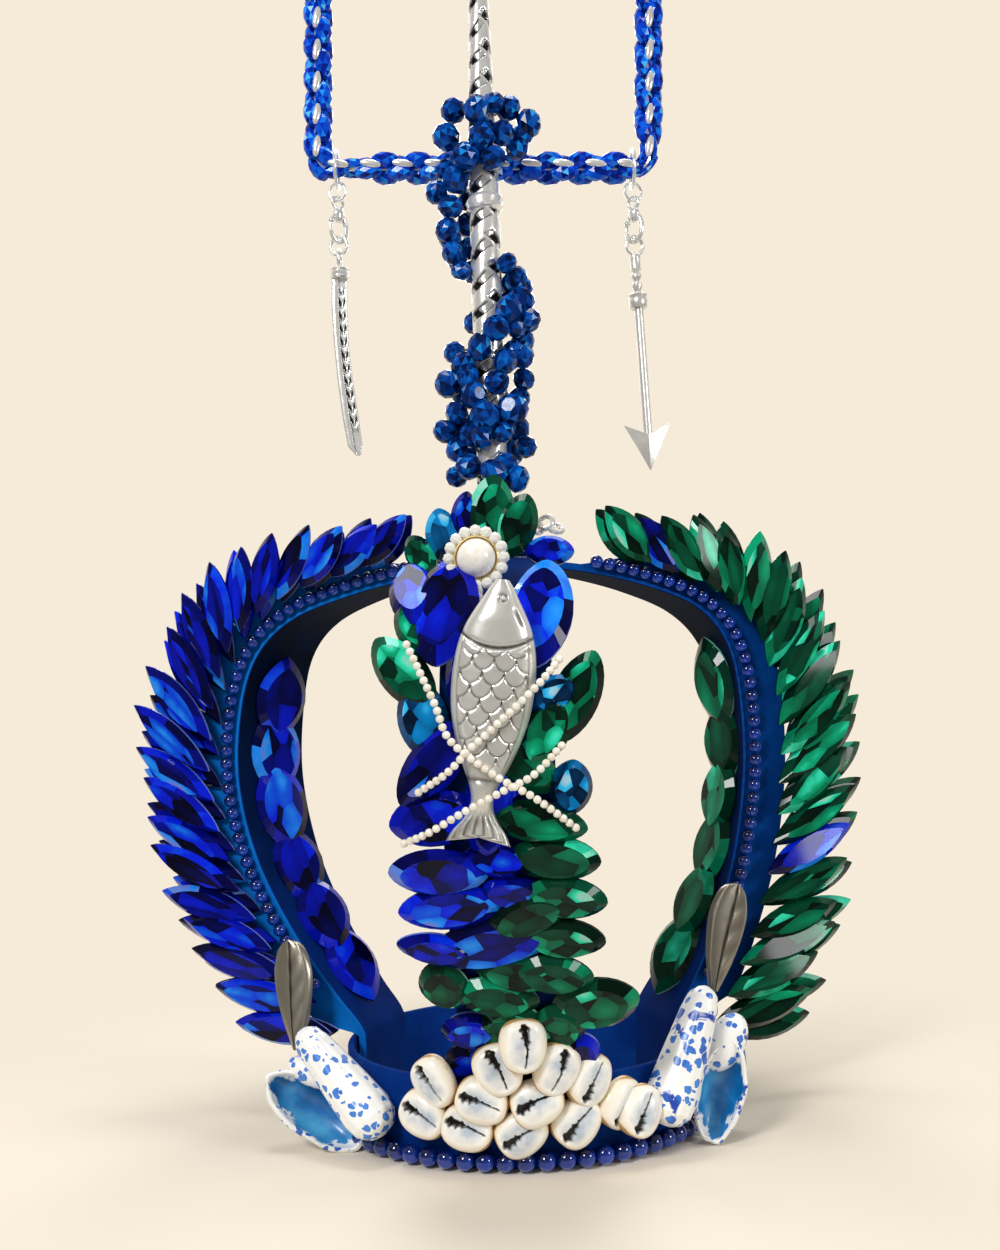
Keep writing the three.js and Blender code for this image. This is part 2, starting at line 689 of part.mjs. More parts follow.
// Rod: cast as if woven, its strands crossing at every half pitch, with a collar and a tapered top.
const rodSteps = 2 * Math.round(rodHeight / rodPitch);
const rodSize = (height) => lerp(rodRadius, rodTopRadius,
  THREE.MathUtils.smoothstep(height / rodHeight, taperShare, 1));
const rodStations = collarShares.map(([along, swell]) => {
  const height = collarHeight + along * collarHalfLength;
  return [height, rodSize(height) + swell * collarRise, 0];
});
for (let i = 0; i <= rodSteps; i++) {
  const height = (i / rodSteps) * rodHeight;
  const groove = i % 2 ? 1 : rodGrooveShare;
  if (Math.abs(height - collarHeight) > collarHalfLength) {
    rodStations.push([height, rodSize(height) * groove, (i % 2) / 2]);
  }
}
rodStations.sort(([a], [b]) => a - b);
addMesh('trident_rod', loft(rodStations.map(([height, radius, phase]) => ellipse(
  new THREE.Vector3(rodShift, 0, rodBottom + height), across, forward, radius, radius, 6, phase))), silver);

// Fork behind the rod, tilted in its lashing.
const forkHeight = rodBottom + collarHeight + forkLift;
const forkSet = (rodRadius + forkRadius) * forkSeatShare + fit;
const forkPath = new THREE.CurvePath();
const forkPoint = (x, z) => new THREE.Vector3(x, 0, z)
  .applyAxisAngle(new THREE.Vector3(0, 1, 0), radians(forkTilt))
  .add(new THREE.Vector3(rodShift, forkSet, forkHeight));
forkPath.add(new THREE.LineCurve3(forkPoint(-forkHalfWidth, forkRise), forkPoint(-forkHalfWidth, forkCorner)));
forkPath.add(new THREE.QuadraticBezierCurve3(forkPoint(-forkHalfWidth, forkCorner),
  forkPoint(-forkHalfWidth, 0), forkPoint(forkCorner - forkHalfWidth, 0)));
forkPath.add(new THREE.LineCurve3(forkPoint(forkCorner - forkHalfWidth, 0),
  forkPoint(forkHalfWidth - forkCorner, 0)));
forkPath.add(new THREE.QuadraticBezierCurve3(forkPoint(forkHalfWidth - forkCorner, 0),
  forkPoint(forkHalfWidth, 0), forkPoint(forkHalfWidth, forkCorner)));
forkPath.add(new THREE.LineCurve3(forkPoint(forkHalfWidth, forkCorner), forkPoint(forkHalfWidth, forkRise)));
addMesh('trident_fork', beadString(forkPath, forkPitch, forkRadius, 5, false, forkNeckShare), darkBead);

// Bead strand wound down the rod.
const strandRadius = rodRadius + strandBeadRadius + fit;
const strandPath = new THREE.SplineCurve(strandRoute.map(([turn, rise]) => new THREE.Vector2(turn, rise)));
const strandPoint = (t) => {
  const { x: turn, y: rise } = strandPath.getPoint(t);
  return new THREE.Vector3(rodShift + (strandRadius + strandSlack) * Math.cos(radians(turn)),
    strandRadius * Math.sin(radians(turn)), rodBottom + rise);
};
const strandCurve = new FormulaCurve(strandPoint);
addMesh('bead_strand', beadString(strandCurve, strandPitch, strandBeadRadius, 5, false, strandNeckShare),
  darkBead);
let strandGap = Infinity;
const strandPoints = strandCurve.getSpacedPoints(200);
strandPoints.forEach((a, i) => strandPoints.forEach((b, j) => {
  const along = (Math.abs(i - j) / 200) * strandCurve.getLength();
  if (along > Math.PI * strandRadius) strandGap = Math.min(strandGap, a.distanceTo(b) - 2 * strandBeadRadius);
}));
console.log(`bead strand: least gap to itself ${strandGap.toFixed(2)} mm`);

// Bead cluster: one string that crosses the rod's front to and fro, in three rows.
const clusterRow = rodRadius + clusterBeadRadius + fit;
const clusterCurve = new THREE.CatmullRomCurve3(clusterShares.map(([x, rise]) => new THREE.Vector3(
  rodShift + x * clusterSpread, -clusterRow + clusterWrap * x * x, forkHeight + rise * clusterRise)));
addMesh('bead_cluster', beadString(clusterCurve, 2 * clusterBeadRadius, clusterBeadRadius, 6), darkBead);

// Round wire ring whose axis lies level, turned from +X by an angle.
function wireRing(radius, wire, turn, centre, sides = 5, steps = 14) {
  const geometry = new THREE.TorusGeometry(radius, wire, sides, steps);
  return geometry.rotateY(Math.PI / 2).rotateZ(radians(turn)).translate(centre.x, centre.y, centre.z);
}

// A lobster clasp in its own plane: u to the side, heights from the wire that carries it.
const claspEyeHeight = linkWire + eyeWire + fit - eyeRadius;
const hookAt = (degrees) => new THREE.Vector3(hookWide * Math.cos(radians(degrees)), 0,
  hookTall * Math.sin(radians(degrees)) - hookDrop);
function claspBody() {
  const hook = new FormulaCurve((t) => hookAt(lerp(hookStart, hookEnd, t)));
  const lump = claspShares.map(([rise, wide]) => ellipse(
    new THREE.Vector3(claspBodyRadius * claspOffsetShare, 0, -claspLength * rise), across, forward,
    claspBodyRadius * wide, claspThick * wide, 8));
  const slot = new THREE.BoxGeometry(claspSlotWidth, 2 * (leverWire + fit), claspLength);
  slot.translate(leverPivotU + leverWire + fit - claspSlotWidth / 2, 0, leverPivotHeight + leverWire + fit
    - claspLength / 2);
  const eye = wireRing(eyeRadius, eyeWire, quarterTurn, new THREE.Vector3(0, 0, claspEyeHeight), 5, 10);
  const body = cut(union([loft(lump), eye]), [slot]);
  return union([body, tube(hook, 8, () => hookWire, 5)]);
}
function claspLever() {
  const curve = new THREE.CatmullRomCurve3([new THREE.Vector3(leverPivotU, 0, leverPivotHeight),
    ...leverTurns.map(hookAt)]);
  return tube(curve, leverShares.length - 1, (i) => leverWire * leverShares[i], 6);
}

// One charm: jump ring on the fork, link ring, clasp with its lever, and what it carries.
function charm(side, x, hang, sign) {
  const bar = forkPoint(x - rodShift, 0);
  const bigCentre = bar.clone().addScaledVector(up, forkRadius + fit + bigRingWire - bigRingRadius);
  const bigBottom = bigCentre.clone().addScaledVector(up, -bigRingRadius);
  const linkCentre = bigBottom.clone().addScaledVector(up, bigRingWire + linkWire + fit - linkRadius);
  const linkBottom = linkCentre.clone().addScaledVector(up, -linkRadius);
  const turn = radians(claspTurn * sign);
  const place = (geometry, origin, angle) => geometry.rotateZ(angle).translate(origin.x, origin.y, origin.z);
  addMesh(`${side}_jump_ring`, wireRing(bigRingRadius, bigRingWire, 0, bigCentre), silver);
  const linkAxis = quarterTurn - linkTurn * sign;
  addMesh(`${side}_link_ring`, wireRing(linkRadius, linkWire, linkAxis, linkCentre, 5, 12), silver);
  addMesh(`${side}_clasp`, place(claspBody(), linkBottom, turn), silver);
  addMesh(`${side}_clasp_lever`, place(claspLever(), linkBottom, turn), silver);
  const hookBottom = linkBottom.clone().addScaledVector(up, -hookDrop - hookTall);
  const loopCentre = hookBottom.clone().addScaledVector(up, hookWire + charmLoopWire + fit - charmLoopRadius);
  const loop = wireRing(charmLoopRadius, charmLoopWire, linkAxis, loopCentre, 5, 12);
  const loopBottom = loopCentre.clone().addScaledVector(up, -charmLoopRadius);
  addMesh(`${side}_${hang.name}`, union([loop, hang.make(loopBottom)]), hang.finish);
  const level = (angle) => [Math.cos(angle), Math.sin(angle), 0];
  hinges[`${side}_jump_ring`] = { at: bar.clone(), axis: [1, 0, 0] };
  hinges[`${side}_link_ring`] = { at: bigBottom.clone(), axis: [0, 1, 0] };
  hinges[`${side}_clasp`] = { at: linkBottom.clone(), axis: level(-radians(linkTurn * sign)) };
  const pivot = new THREE.Vector3(leverPivotU, 0, leverPivotHeight).applyAxisAngle(up, turn).add(linkBottom);
  hinges[`${side}_clasp_lever`] = { at: pivot.clone(), axis: level(turn + Math.PI / 2) };
  hinges[`${side}_${hang.name}`] = { at: hookBottom.clone(), axis: level(turn) };
}

// Sword: a collar and a curved single-edged blade with a ridge.
function sword(top) {
  const hilt = new THREE.CylinderGeometry(hiltRadius, hiltRadius, hiltHeight, 8).rotateX(Math.PI / 2)
    .translate(top.x, top.y, top.z - hiltHeight / 2);
  const bladeTop = top.z - hiltHeight * hiltOverlapShare;
  const rings = bladeShares.map(([down, bend, wide]) => {
    const centre = new THREE.Vector3(top.x + bend * bladeSweep, top.y, bladeTop - down * bladeLength);
    const point = (u, f) => centre.clone().addScaledVector(across, u * wide * bladeWidth)
      .addScaledVector(forward, f * bladeThick * Math.min(1, 2 * wide));
    return sectionShares.map(([u, f]) => point(u, f));
  });
  return union([hilt, loft(rings)]);
}

// Arrow: a twisted connector, a cap, the shaft and a barbed head with a ridge on both faces.
function arrow(top) {
  const start = top.z + arrowOverlap;
  const at = (z, radius, phase = 0) => ellipse(new THREE.Vector3(top.x, top.y, z), across, forward, radius,
    radius, 8, phase);
  const rings = connectorShares.map(([down, wide], i) => at(start - down * connectorLength,
    wide * connectorRadius, i / 2));
  const capTop = start - connectorLength;
  rings.push(at(capTop - arrowCapHeight / 4, arrowCapRadius), at(capTop - arrowCapHeight, arrowCapRadius));
  rings.push(at(capTop - arrowCapHeight, shaftRadius));
  const shaftEnd = capTop - arrowCapHeight - shaftLength;
  rings.push(at(shaftEnd - headLength * shaftSinkShare, shaftRadius));
  const corner = (u, f, down) => new THREE.Vector3(top.x + u * headHalfWidth, top.y - f * headThick / 2,
    shaftEnd - down * headLength);
  const edge = headShares.map(([u, down]) => corner(u, 0, down));
  const points = [...edge, corner(0, 1, headRidgeShare), corner(0, -1, headRidgeShare)];
  const head = new THREE.BufferGeometry().setFromPoints(points);
  const index = [];
  edge.forEach((_, i) => index.push(i, (i + 1) % 5, 5, (i + 1) % 5, i, 6));
  head.setIndex(index);
  return union([loft(rings), outward(head)]);
}

charm('left', rodShift - forkHalfWidth + leftRingInset, { name: 'sword', make: sword, finish: silver }, 1);
charm('right', rodShift + forkHalfWidth - rightRingInset, { name: 'arrow', make: arrow, finish: pewter }, -1);

// Places on the front of the column: x to the viewer's right, z up, r out from the axis.
const onFront = (x, z, r) => frontArch.out.clone().multiplyScalar(r).addScaledVector(frontArch.rear, x)
  .addScaledVector(up, z);
const stonesFront = frontReach + archWall + columnLift + stoneStep + stoneDepth;

// Fish: nose up, its body full at a third, with a forked tail.
const fishBack = stonesFront + fit;
const fishHeight = archHeight * fishHeightShare;
function fish() {
  const body = fishShares.map(([down, wide]) => ellipse(new THREE.Vector3(0, 0, (0.5 - down) * fishLength),
    across, forward, fishHalfWidth * wide, (fishThick / 2) * Math.sqrt(wide), 10));
  const tail = tailShares.map(([x, down]) => new THREE.Vector2(x * tailSpread, (0.5 - down) * fishLength));
  const fin = new THREE.ExtrudeGeometry(new THREE.Shape(tail), { depth: tailThick, bevelEnabled: false });
  fin.rotateX(Math.PI / 2).translate(0, tailThick / 2, 0);
  const place = onFront(fishOffset, fishHeight, fishBack + fishThick / 2);
  return union([loft(body), fin]).rotateY(radians(fishTilt)).rotateZ(columnTurn)
    .translate(place.x, place.y, place.z);
}
addMesh('pewter_fish', fish(), pewter);

// Pearl cabochon on its bezel: a plate with a ring of crystal beads and a drop of three.
const pearlHeight = archHeight * pearlHeightShare;
const pearlFoot = pearlHeight - bezelRadius - dropLength;
const pearlSet = frontArch.at(frontArch.find((s) => s.height > pearlFoot)).radius + archWall + fit;
const dome = Array.from({ length: 5 }, (_, i) => {
  const angle = (Math.PI / 2) * (i / 4);
  return [pearlRadius * Math.cos(angle), pearlRise * Math.sin(angle)];
});
const pearlSeat = onFront(pearlOffset, pearlHeight, pearlSet + bezelPlate + fit);
const domeGeometry = new THREE.LatheGeometry([[0, 0], ...dome].map(([x, y]) => new THREE.Vector2(x, y)), 12);
addMesh('pearl_cabochon', domeGeometry.rotateX(Math.PI).rotateZ(columnTurn).translate(...pearlSeat.toArray()),
  pearlWhite);
const plate = new THREE.CylinderGeometry(bezelRadius, bezelRadius, bezelPlate, 12)
  .rotateZ(columnTurn).translate(...onFront(pearlOffset, pearlHeight, pearlSet + bezelPlate / 2).toArray());
const bezelCurve = new FormulaCurve((t) => onFront(pearlOffset + bezelRadius * Math.cos(2 * Math.PI * t),
  pearlHeight + bezelRadius * Math.sin(2 * Math.PI * t), pearlSet + bezelPlate / 2 + bezelBeadRadius / 2));
const dropCurve = new THREE.LineCurve3(
  onFront(pearlOffset, pearlHeight - bezelRadius, pearlSet + bezelPlate / 2 + bezelBeadRadius / 2),
  onFront(pearlOffset, pearlHeight - bezelRadius - dropLength, pearlSet + bezelPlate / 2 + bezelBeadRadius / 2));
const bezelPitch = (2 * Math.PI * bezelRadius) / bezelBeads;
addMesh('pearl_bezel', union([plate, beadString(bezelCurve, bezelPitch, bezelBeadRadius, 4, true),
  beadString(dropCurve, bezelPitch, bezelBeadRadius, 4)]), pearlWhite);

// Strands of seed pearls tied across the fish: x, height above the fish's middle, and 1 where they
// lie over the fish or 0 where they go back to the stones.
const pearlRoutes = [
  [[-25, 18, 0], [-18, 3, 0.9], [-14, -7, 1], [-3, -16, 1], [7, -22, 1], [17, -30, 0]],
  [[14, 13, 0], [8, 6, 0.9], [-3, -4, 1], [-9, -9, 1], [-15, -15, 0.9], [-23, -20, 0]],
  [[14, -9, 0], [7, -16, 0.9], [-1, -20, 1], [-11, -25, 1], [-20, -30, 0.9], [-27, -33, 0]],
];
const overFish = fishBack + fishThick + fit + pearlBeadRadius;
const overStones = stonesFront + fit + pearlBeadRadius;
addMesh('pearl_strands', union(pearlRoutes.map((route) => beadString(new THREE.CatmullRomCurve3(
  route.map(([x, rise, over]) => onFront(x, fishHeight + rise, lerp(overStones, overFish, over)))),
  pearlBeadPitch, pearlBeadRadius, 4))), pearlWhite);

// A cowrie, mouth towards +Z, long along X.
function cowrie(grow = 0) {
  const size = (length) => length / 2 + grow;
  const rings = cowrieShares.map(([along, swell]) => {
    const centre = new THREE.Vector3(2 * along * size(cowrieLength), 0, 0);
    return ellipse(centre, new THREE.Vector3(0, 1, 0), up, swell * size(cowrieWidth),
      swell * size(cowrieThick), 6, 0.5);
  });
  const shell = loft(rings);
  if (grow) return shell;
  const slit = new THREE.BoxGeometry(cowrieLength * slitShare, slitWidth, 2 * slitDepth);
  return cut(shell, [slit.translate(0, 0, size(cowrieThick) * mouthShare)]);
}

// Cowries in a pyramid on the ring's front: the angle about the crown's axis from the front, the
// height over the ring's beads in shell widths, the lean of the mouth from level, and how far out
// in shell thicknesses.
const cowriePlaces = [
  [-28, 0.8, -28, 0], [-15.2, 0.59, -20, 0], [-0.8, 0.49, 30, 0], [14, 0.67, 45, 0], [26.8, 0.97, 55, 0],
  [-24, 1.63, -52, 0.1], [-10.8, 1.26, -20, 0.22], [3.3, 1.24, 22, 0.25], [17.5, 1.65, 60, 0.12],
  [-6.2, 2.05, -65, 0.42], [8, 2.01, 70, 0.42], [0, 2.67, 90, 0.95], [31.5, 0.76, 60, 0.3],
];
const cowrieSet = ringOuterRadius + cowrieThick / 2 + fit;
function placedCowrie(index, grow = 0) {
  const [side, rise, lean, outShare] = cowriePlaces[index];
  const out = forward.clone().applyAxisAngle(up, radians(side));
  const level = across.clone().applyAxisAngle(up, radians(side));
  const pointing = level.multiplyScalar(Math.cos(radians(lean))).addScaledVector(up, Math.sin(radians(lean)));
  const size = cowrieLength / 2 + grow;
  const centre = out.clone().multiplyScalar(cowrieSet + outShare * cowrieThick)
    .addScaledVector(up, 2 * ringBeadRadius + fit + rise * cowrieWidth);
  return setStone(cowrie(grow).translate(size, 0, 0), centre.clone().addScaledVector(pointing, -size),
    pointing, out);
}
const cowrieRoom = cowriePlaces.map((_, i) => placedCowrie(i, fit));
cowriePlaces.forEach((_, i) => {
  const neighbours = cowrieRoom.slice(0, i);
  const shell = neighbours.length ? cut(placedCowrie(i), neighbours) : placedCowrie(i);
  addMesh(`cowrie_${i + 1}`, shell, shellWhite);
});

// Stones at the column's foot, on a bed that follows the front arch, behind the cowries.
const footTop = columnFoot - fit;
const footLow = ringHeight + fit;
const bedRings = [];
for (let i = 0; i <= bedSteps; i++) {
  const height = lerp(footLow, footTop, i / bedSteps);
  const s = frontArch.at(frontArch.find((place) => place.height > height));
  const point = (n, side) => s.place.clone().addScaledVector(s.normal, archWall + n)
    .addScaledVector(frontArch.rear, side * bedHalfWidth);
  const bedTop = columnLift + stoneStep + fit;
  bedRings.push([point(0, -1), point(bedTop, -1), point(bedTop, 1), point(0, 1)]);
}
const footBlock = [new THREE.Vector3(0, 0, (footTop + footLow) / 2),
  new THREE.Vector3(2 * archHeight, 2 * archHeight, footTop - footLow)];
const footStones = clip(union([columnSpray(footColumnShares, columnFoot), loft(bedRings)]), ...footBlock);
addMesh('column_foot_stones', cut(footStones, [...cowrieRoom, frontBand(frontArch, fit)]), greenGlass);

// Cone shells that lean against the arches' feet, from the top end to the bottom end.
const coneShares = [[0, 0.32], [0.1, 0.7], [0.32, 0.94], [0.6, 1], [0.85, 0.84], [1, 0.42]];
function coneShell(name, top, bottom) {
  const axis = bottom.clone().sub(top).normalize();
  const side = new THREE.Vector3().crossVectors(axis, up).normalize();
  const other = new THREE.Vector3().crossVectors(side, axis);
  const rings = coneShares.map(([down, wide], i) => ellipse(top.clone().lerp(bottom, down), side, other,
    wide * coneRadius, wide * coneRadius * coneFlatShare, 10, i / 4));
  addMesh(name, loft(rings), paintedShell);
}
const onRing = (degrees, radius, height) => forward.clone().applyAxisAngle(up, radians(degrees))
  .multiplyScalar(radius).addScaledVector(up, height);
const coneSeat = ringOuterRadius + coneRadius * coneSeatShare + fit;
coneShell('left_cone_shell', onRing(-leftConeTop, coneSeat + coneLean, coneFoot + leftConeRise),
  onRing(-leftConeFoot, coneSeat, coneFoot));
coneShell('right_cone_shell', onRing(rightConeTop, coneSeat + coneLean, coneFoot + rightConeRise),
  onRing(rightConeFoot, coneSeat, coneFoot));

// Open half shells outside them, hollow towards the viewer.
function openShell(name, centre, turn, lean, tilt) {
  const bowl = (grow) => new THREE.SphereGeometry(1, 10, 8).scale(openShellWidth / 2 + grow,
    openShellThick + grow, openShellLength / 2 + grow);
  const room = 2 * openShellLength;
  const lid = new THREE.BoxGeometry(room, room, room).translate(0, -room / 2, 0);
  const half = cut(bowl(0), [bowl(-openShellWall), lid]);
  half.rotateX(radians(tilt)).rotateY(radians(lean)).rotateZ(radians(turn))
    .translate(centre.x, centre.y, centre.z);
  addMesh(name, half, paintedShell);
}
openShell('left_open_shell', onRing(-leftOpenSide, openShellSet, leftOpenHeight), -leftOpenTurn, leftOpenLean,
  leftOpenTilt);
openShell('right_open_shell', onRing(rightOpenSide, openShellSet, rightOpenHeight), rightOpenTurn, rightOpenLean,
  rightOpenTilt);

// Metal petals on the front stones at the foot of the side arches.
const petalShares = [[0, 0], [0.12, 0.3], [0.4, 0.5], [0.75, 0.36], [1, 0], [0.75, -0.36], [0.4, -0.5],
  [0.12, -0.3]];
const frontLayerTop = frontLayerBase + stoneStep + stoneDepth + fit;
for (const [name, arch, height] of [
  ['left_petal', leftArch, leftPetalHeight],
  ['right_petal', rightArch, rightPetalHeight],
]) {
  const t = arch.find((s) => s.height > height);
  addMesh(name, setStone(stone(petalLength, petalWidth, petalThick, petalShares),
    onFlange(arch, t, petalOffset, frontLayerTop), arch.at(t).rise, arch.front), pewter);
}

// The frame: centred on the bounding box, standing on its bottom.
const box = new THREE.Box3().setFromObject(crown);
const shift = new THREE.Vector3(-(box.min.x + box.max.x) / 2, -(box.min.y + box.max.y) / 2, -box.min.z);
crown.children.forEach((mesh) => mesh.geometry.translate(shift.x, shift.y, shift.z));
Object.values(hinges).forEach((hinge) => hinge.at.add(shift));
crown.userData.hinges = hinges;
export default crown;
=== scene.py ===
# Altar crown: painted band metal with stones, shells, beads, a fish and a trident with two charms.
# Shapes are worked out in millimetres from the middle of the base ring, then placed in metres.
# Settings are in millimetres and degrees unless a note says otherwise.
import math

import bmesh
import bpy
import numpy as np
from mathutils import Matrix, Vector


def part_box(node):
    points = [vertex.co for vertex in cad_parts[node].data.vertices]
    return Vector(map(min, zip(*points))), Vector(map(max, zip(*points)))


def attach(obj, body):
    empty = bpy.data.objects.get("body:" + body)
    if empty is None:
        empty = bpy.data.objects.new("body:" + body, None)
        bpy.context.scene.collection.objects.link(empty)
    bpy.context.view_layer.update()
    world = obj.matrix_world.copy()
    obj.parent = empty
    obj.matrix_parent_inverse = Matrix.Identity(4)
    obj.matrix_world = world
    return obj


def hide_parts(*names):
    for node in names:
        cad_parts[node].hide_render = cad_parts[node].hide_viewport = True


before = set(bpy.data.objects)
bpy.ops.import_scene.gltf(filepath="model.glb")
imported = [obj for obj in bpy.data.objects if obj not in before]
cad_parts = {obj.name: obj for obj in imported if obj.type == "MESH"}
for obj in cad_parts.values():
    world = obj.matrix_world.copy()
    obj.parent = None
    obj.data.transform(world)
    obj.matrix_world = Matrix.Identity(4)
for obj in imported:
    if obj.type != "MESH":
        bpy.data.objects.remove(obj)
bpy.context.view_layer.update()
ringLow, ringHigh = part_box("base_ring")
middle = np.array([(ringLow.x + ringHigh.x) / 2, (ringLow.y + ringHigh.y) / 2, ringLow.z])
up, across, forward = np.array([[0.0, 0.0, 1.0], [1.0, 0.0, 0.0], [0.0, -1.0, 0.0]])
fit = 0.3  # gap left between neighbours
turnFull = 2 * math.pi


def unitVector(v):
    # each vector divided by its own length
    return v / np.maximum(np.linalg.norm(v, axis=-1, keepdims=True), 1e-12)


def turnAbout(v, axis, degrees):
    # Rodrigues' formula: v turned about a unit axis
    a = math.radians(degrees)
    return v * math.cos(a) + np.cross(axis, v) * math.sin(a) + axis * (v @ axis)[..., None] * (1 - math.cos(a))


def around(count):
    # even angles round a circle
    return np.linspace(0, turnFull, count, endpoint=False)


def smoothStep(x, low, high):
    # t squared times (3 - 2t), where t runs from 0 at low to 1 at high
    t = np.clip((np.asarray(x, float) - low) / (high - low), 0, 1)
    return t * t * (3 - 2 * t)


def bell(x, at, wide):
    # e to minus the square of (x - at) / wide
    return np.exp(-((x - at) / wide) ** 2)


def gridFaces(rows, columns, closeRows=False):
    # four-cornered faces between neighbours on a grid whose columns, and rows where asked, wrap round
    i = np.arange(rows if closeRows else rows - 1)[:, None]
    j = np.arange(columns)[None, :]
    down = ((i + 1) % rows) * columns
    after = (j + 1) % columns
    return np.stack([i * columns + j, i * columns + after, down + after, down + j], -1).reshape(-1, 4)


def closedTube(rings):
    # rings (row, column, xyz) skinned, each end closed on its middle point
    rows, columns = rings.shape[:2]
    points = np.concatenate([rings.reshape(-1, 3), rings[[0, -1]].mean(1)])
    j = np.arange(columns)
    after, last = (j + 1) % columns, (rows - 1) * columns
    first = np.stack([after, j, np.full(columns, rows * columns)], -1)
    end = np.stack([last + j, last + after, np.full(columns, rows * columns + 1)], -1)
    return points, gridFaces(rows, columns).tolist() + first.tolist() + end.tolist()


def copies(points, faces, matrices):
    # one shape set down many times: each matrix is 3 rows of 4, turn and place
    matrices = np.asarray(matrices)
    placed = np.einsum("nij,vj->nvi", matrices[:, :, :3], points) + matrices[:, None, :, 3]
    shift = len(points)
    return placed.reshape(-1, 3), [[v + shift * k for v in f] for k in range(len(matrices)) for f in faces]


def turned(profile, sides):
    # a profile of (radius, height) carried round the axis
    profile, a = np.asarray(profile, float), around(sides)
    return np.stack([profile[:, None, 0] * np.cos(a), profile[:, None, 0] * np.sin(a),
                     np.broadcast_to(profile[:, None, 1], (len(profile), sides))], -1)


def runOf(line):
    # how far along a line each of its points lies
    return np.concatenate([[0], np.cumsum(np.linalg.norm(np.diff(line, axis=0), axis=1))])


def readAt(at, places, values):
    # each column of values, known at places, read elsewhere on straight lines between them
    return np.stack([np.interp(at, places, column) for column in values.T], -1)


def evenly(line, spacing):
    # a line's points at even distances
    run = runOf(line)
    return readAt(np.linspace(0, run[-1], max(2, int(round(run[-1] / spacing)) + 1)), run, line)


def splined(p, steps):
    # a uniform Catmull-Rom curve from the second point to the last but one: on each span a cubic
    # through its ends, with slopes half the way between their neighbours
    t = np.linspace(0, 1, steps, endpoint=False)[:, None]
    parts = [0.5 * (2 * b + (c - a) * t + (2 * a - 5 * b + 4 * c - d) * t ** 2 + (3 * b - a - 3 * c + d) * t ** 3)
             for a, b, c, d in zip(p, p[1:], p[2:], p[3:])]
    return np.concatenate(parts + [p[-2:-1]])


def smoothLine(points, spacing):
    # a spline that runs straight on at its ends, sampled at even distances
    p = np.asarray(points, float)
    return evenly(splined(np.concatenate([[2 * p[0] - p[1]], p, [2 * p[-1] - p[-2]]]), 24), spacing)


def clampedSpline(points, steps=60):
    # a spline whose end points count twice
    p = np.asarray(points, float)
    return splined(np.concatenate([p[:1], p, p[-1:]]), steps)


def outlineAt(table, at, spacing):
    # a table of (share, width) read as a smooth curve
    fine = smoothLine(np.column_stack([table, np.zeros(len(table))]), spacing)
    return np.interp(at, fine[:, 0], fine[:, 1])


def roundRod(line, radius, sides=10, closed=False):
    # a circle carried along a line without twist; the radius may change along it
    step = np.roll(line, -1, 0) - np.roll(line, 1, 0) if closed else np.gradient(line, axis=0)
    tangent = unitVector(step)
    side, sideways = np.cross(tangent[0], up if abs(tangent[0][2]) < 0.9 else across), []
    for t in tangent:
        side = unitVector(side - t * (side @ t))
        sideways.append(side)
    sideways, a = np.array(sideways), around(sides)[None, :, None]
    size = np.broadcast_to(np.asarray(radius, float), (len(line),))[:, None, None]
    other = np.cross(tangent, sideways)
    rings = line[:, None] + size * (np.cos(a) * sideways[:, None] + np.sin(a) * other[:, None])
    return (rings.reshape(-1, 3), gridFaces(len(line), sides, True).tolist()) if closed else closedTube(rings)


def wireRing(centre, radius, wire, normal, sides=8, steps=28):
    # a torus: a small circle carried round a large one
    n = unitVector(np.asarray(normal, float))
    x = unitVector(np.cross(n, up))
    a = around(steps)[:, None]
    return roundRod(centre + radius * (np.cos(a) * x + np.sin(a) * np.cross(n, x)), wire, sides, True)


def together(*shapes):
    # several (points, faces) as one
    faces, shift = [], 0
    for p, f in shapes:
        faces += [[v + shift for v in face] for face in f]
        shift += len(p)
    return np.concatenate([p for p, f in shapes]), faces


def capped(values, first, last):
    # numbers for a closed tube: those of its rings, then one for each end point
    return np.concatenate([np.asarray(values, float).ravel(), [first, last]])


def addPiece(name, shape, material, replaced=(), body="crown", smooth=35, values=None):
    # puts a shape into the scene, its edges sharp where they turn by more than smooth degrees (0: all);
    # values are numbers for each face or corner point that a finish reads
    points, faces = shape
    mesh = bpy.data.meshes.new(name)
    mesh.from_pydata((points * 0.001 + middle).tolist(), [], faces)
    for key, numbers in (values or {}).items():
        domain = "FACE" if len(numbers) == len(mesh.polygons) else "POINT"
        mesh.attributes.new(key, "FLOAT", domain).data.foreach_set("value", np.asarray(numbers, np.float32))
    work = bmesh.new()
    work.from_mesh(mesh)
    bmesh.ops.recalc_face_normals(work, faces=work.faces)
    work.to_mesh(mesh)
    work.free()
    mesh.polygons.foreach_set("use_smooth", [smooth > 0] * len(mesh.polygons))
    if 0 < smooth < 180:
        mesh.set_sharp_from_angle(angle=math.radians(smooth))
    mesh.materials.append(material)
    piece = bpy.data.objects.new(name, mesh)
    bpy.context.scene.collection.objects.link(piece)
    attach(piece, body)
    if replaced:
        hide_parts(*replaced)


def linear(text):
    # an sRGB hex colour as linear light
    c = np.array([int(text[i:i + 2], 16) / 255 for i in (1, 3, 5)])
    c = np.where(c <= 0.04045, c / 12.92, ((c + 0.055) / 1.055) ** 2.4)
    return (*c, 1.0)


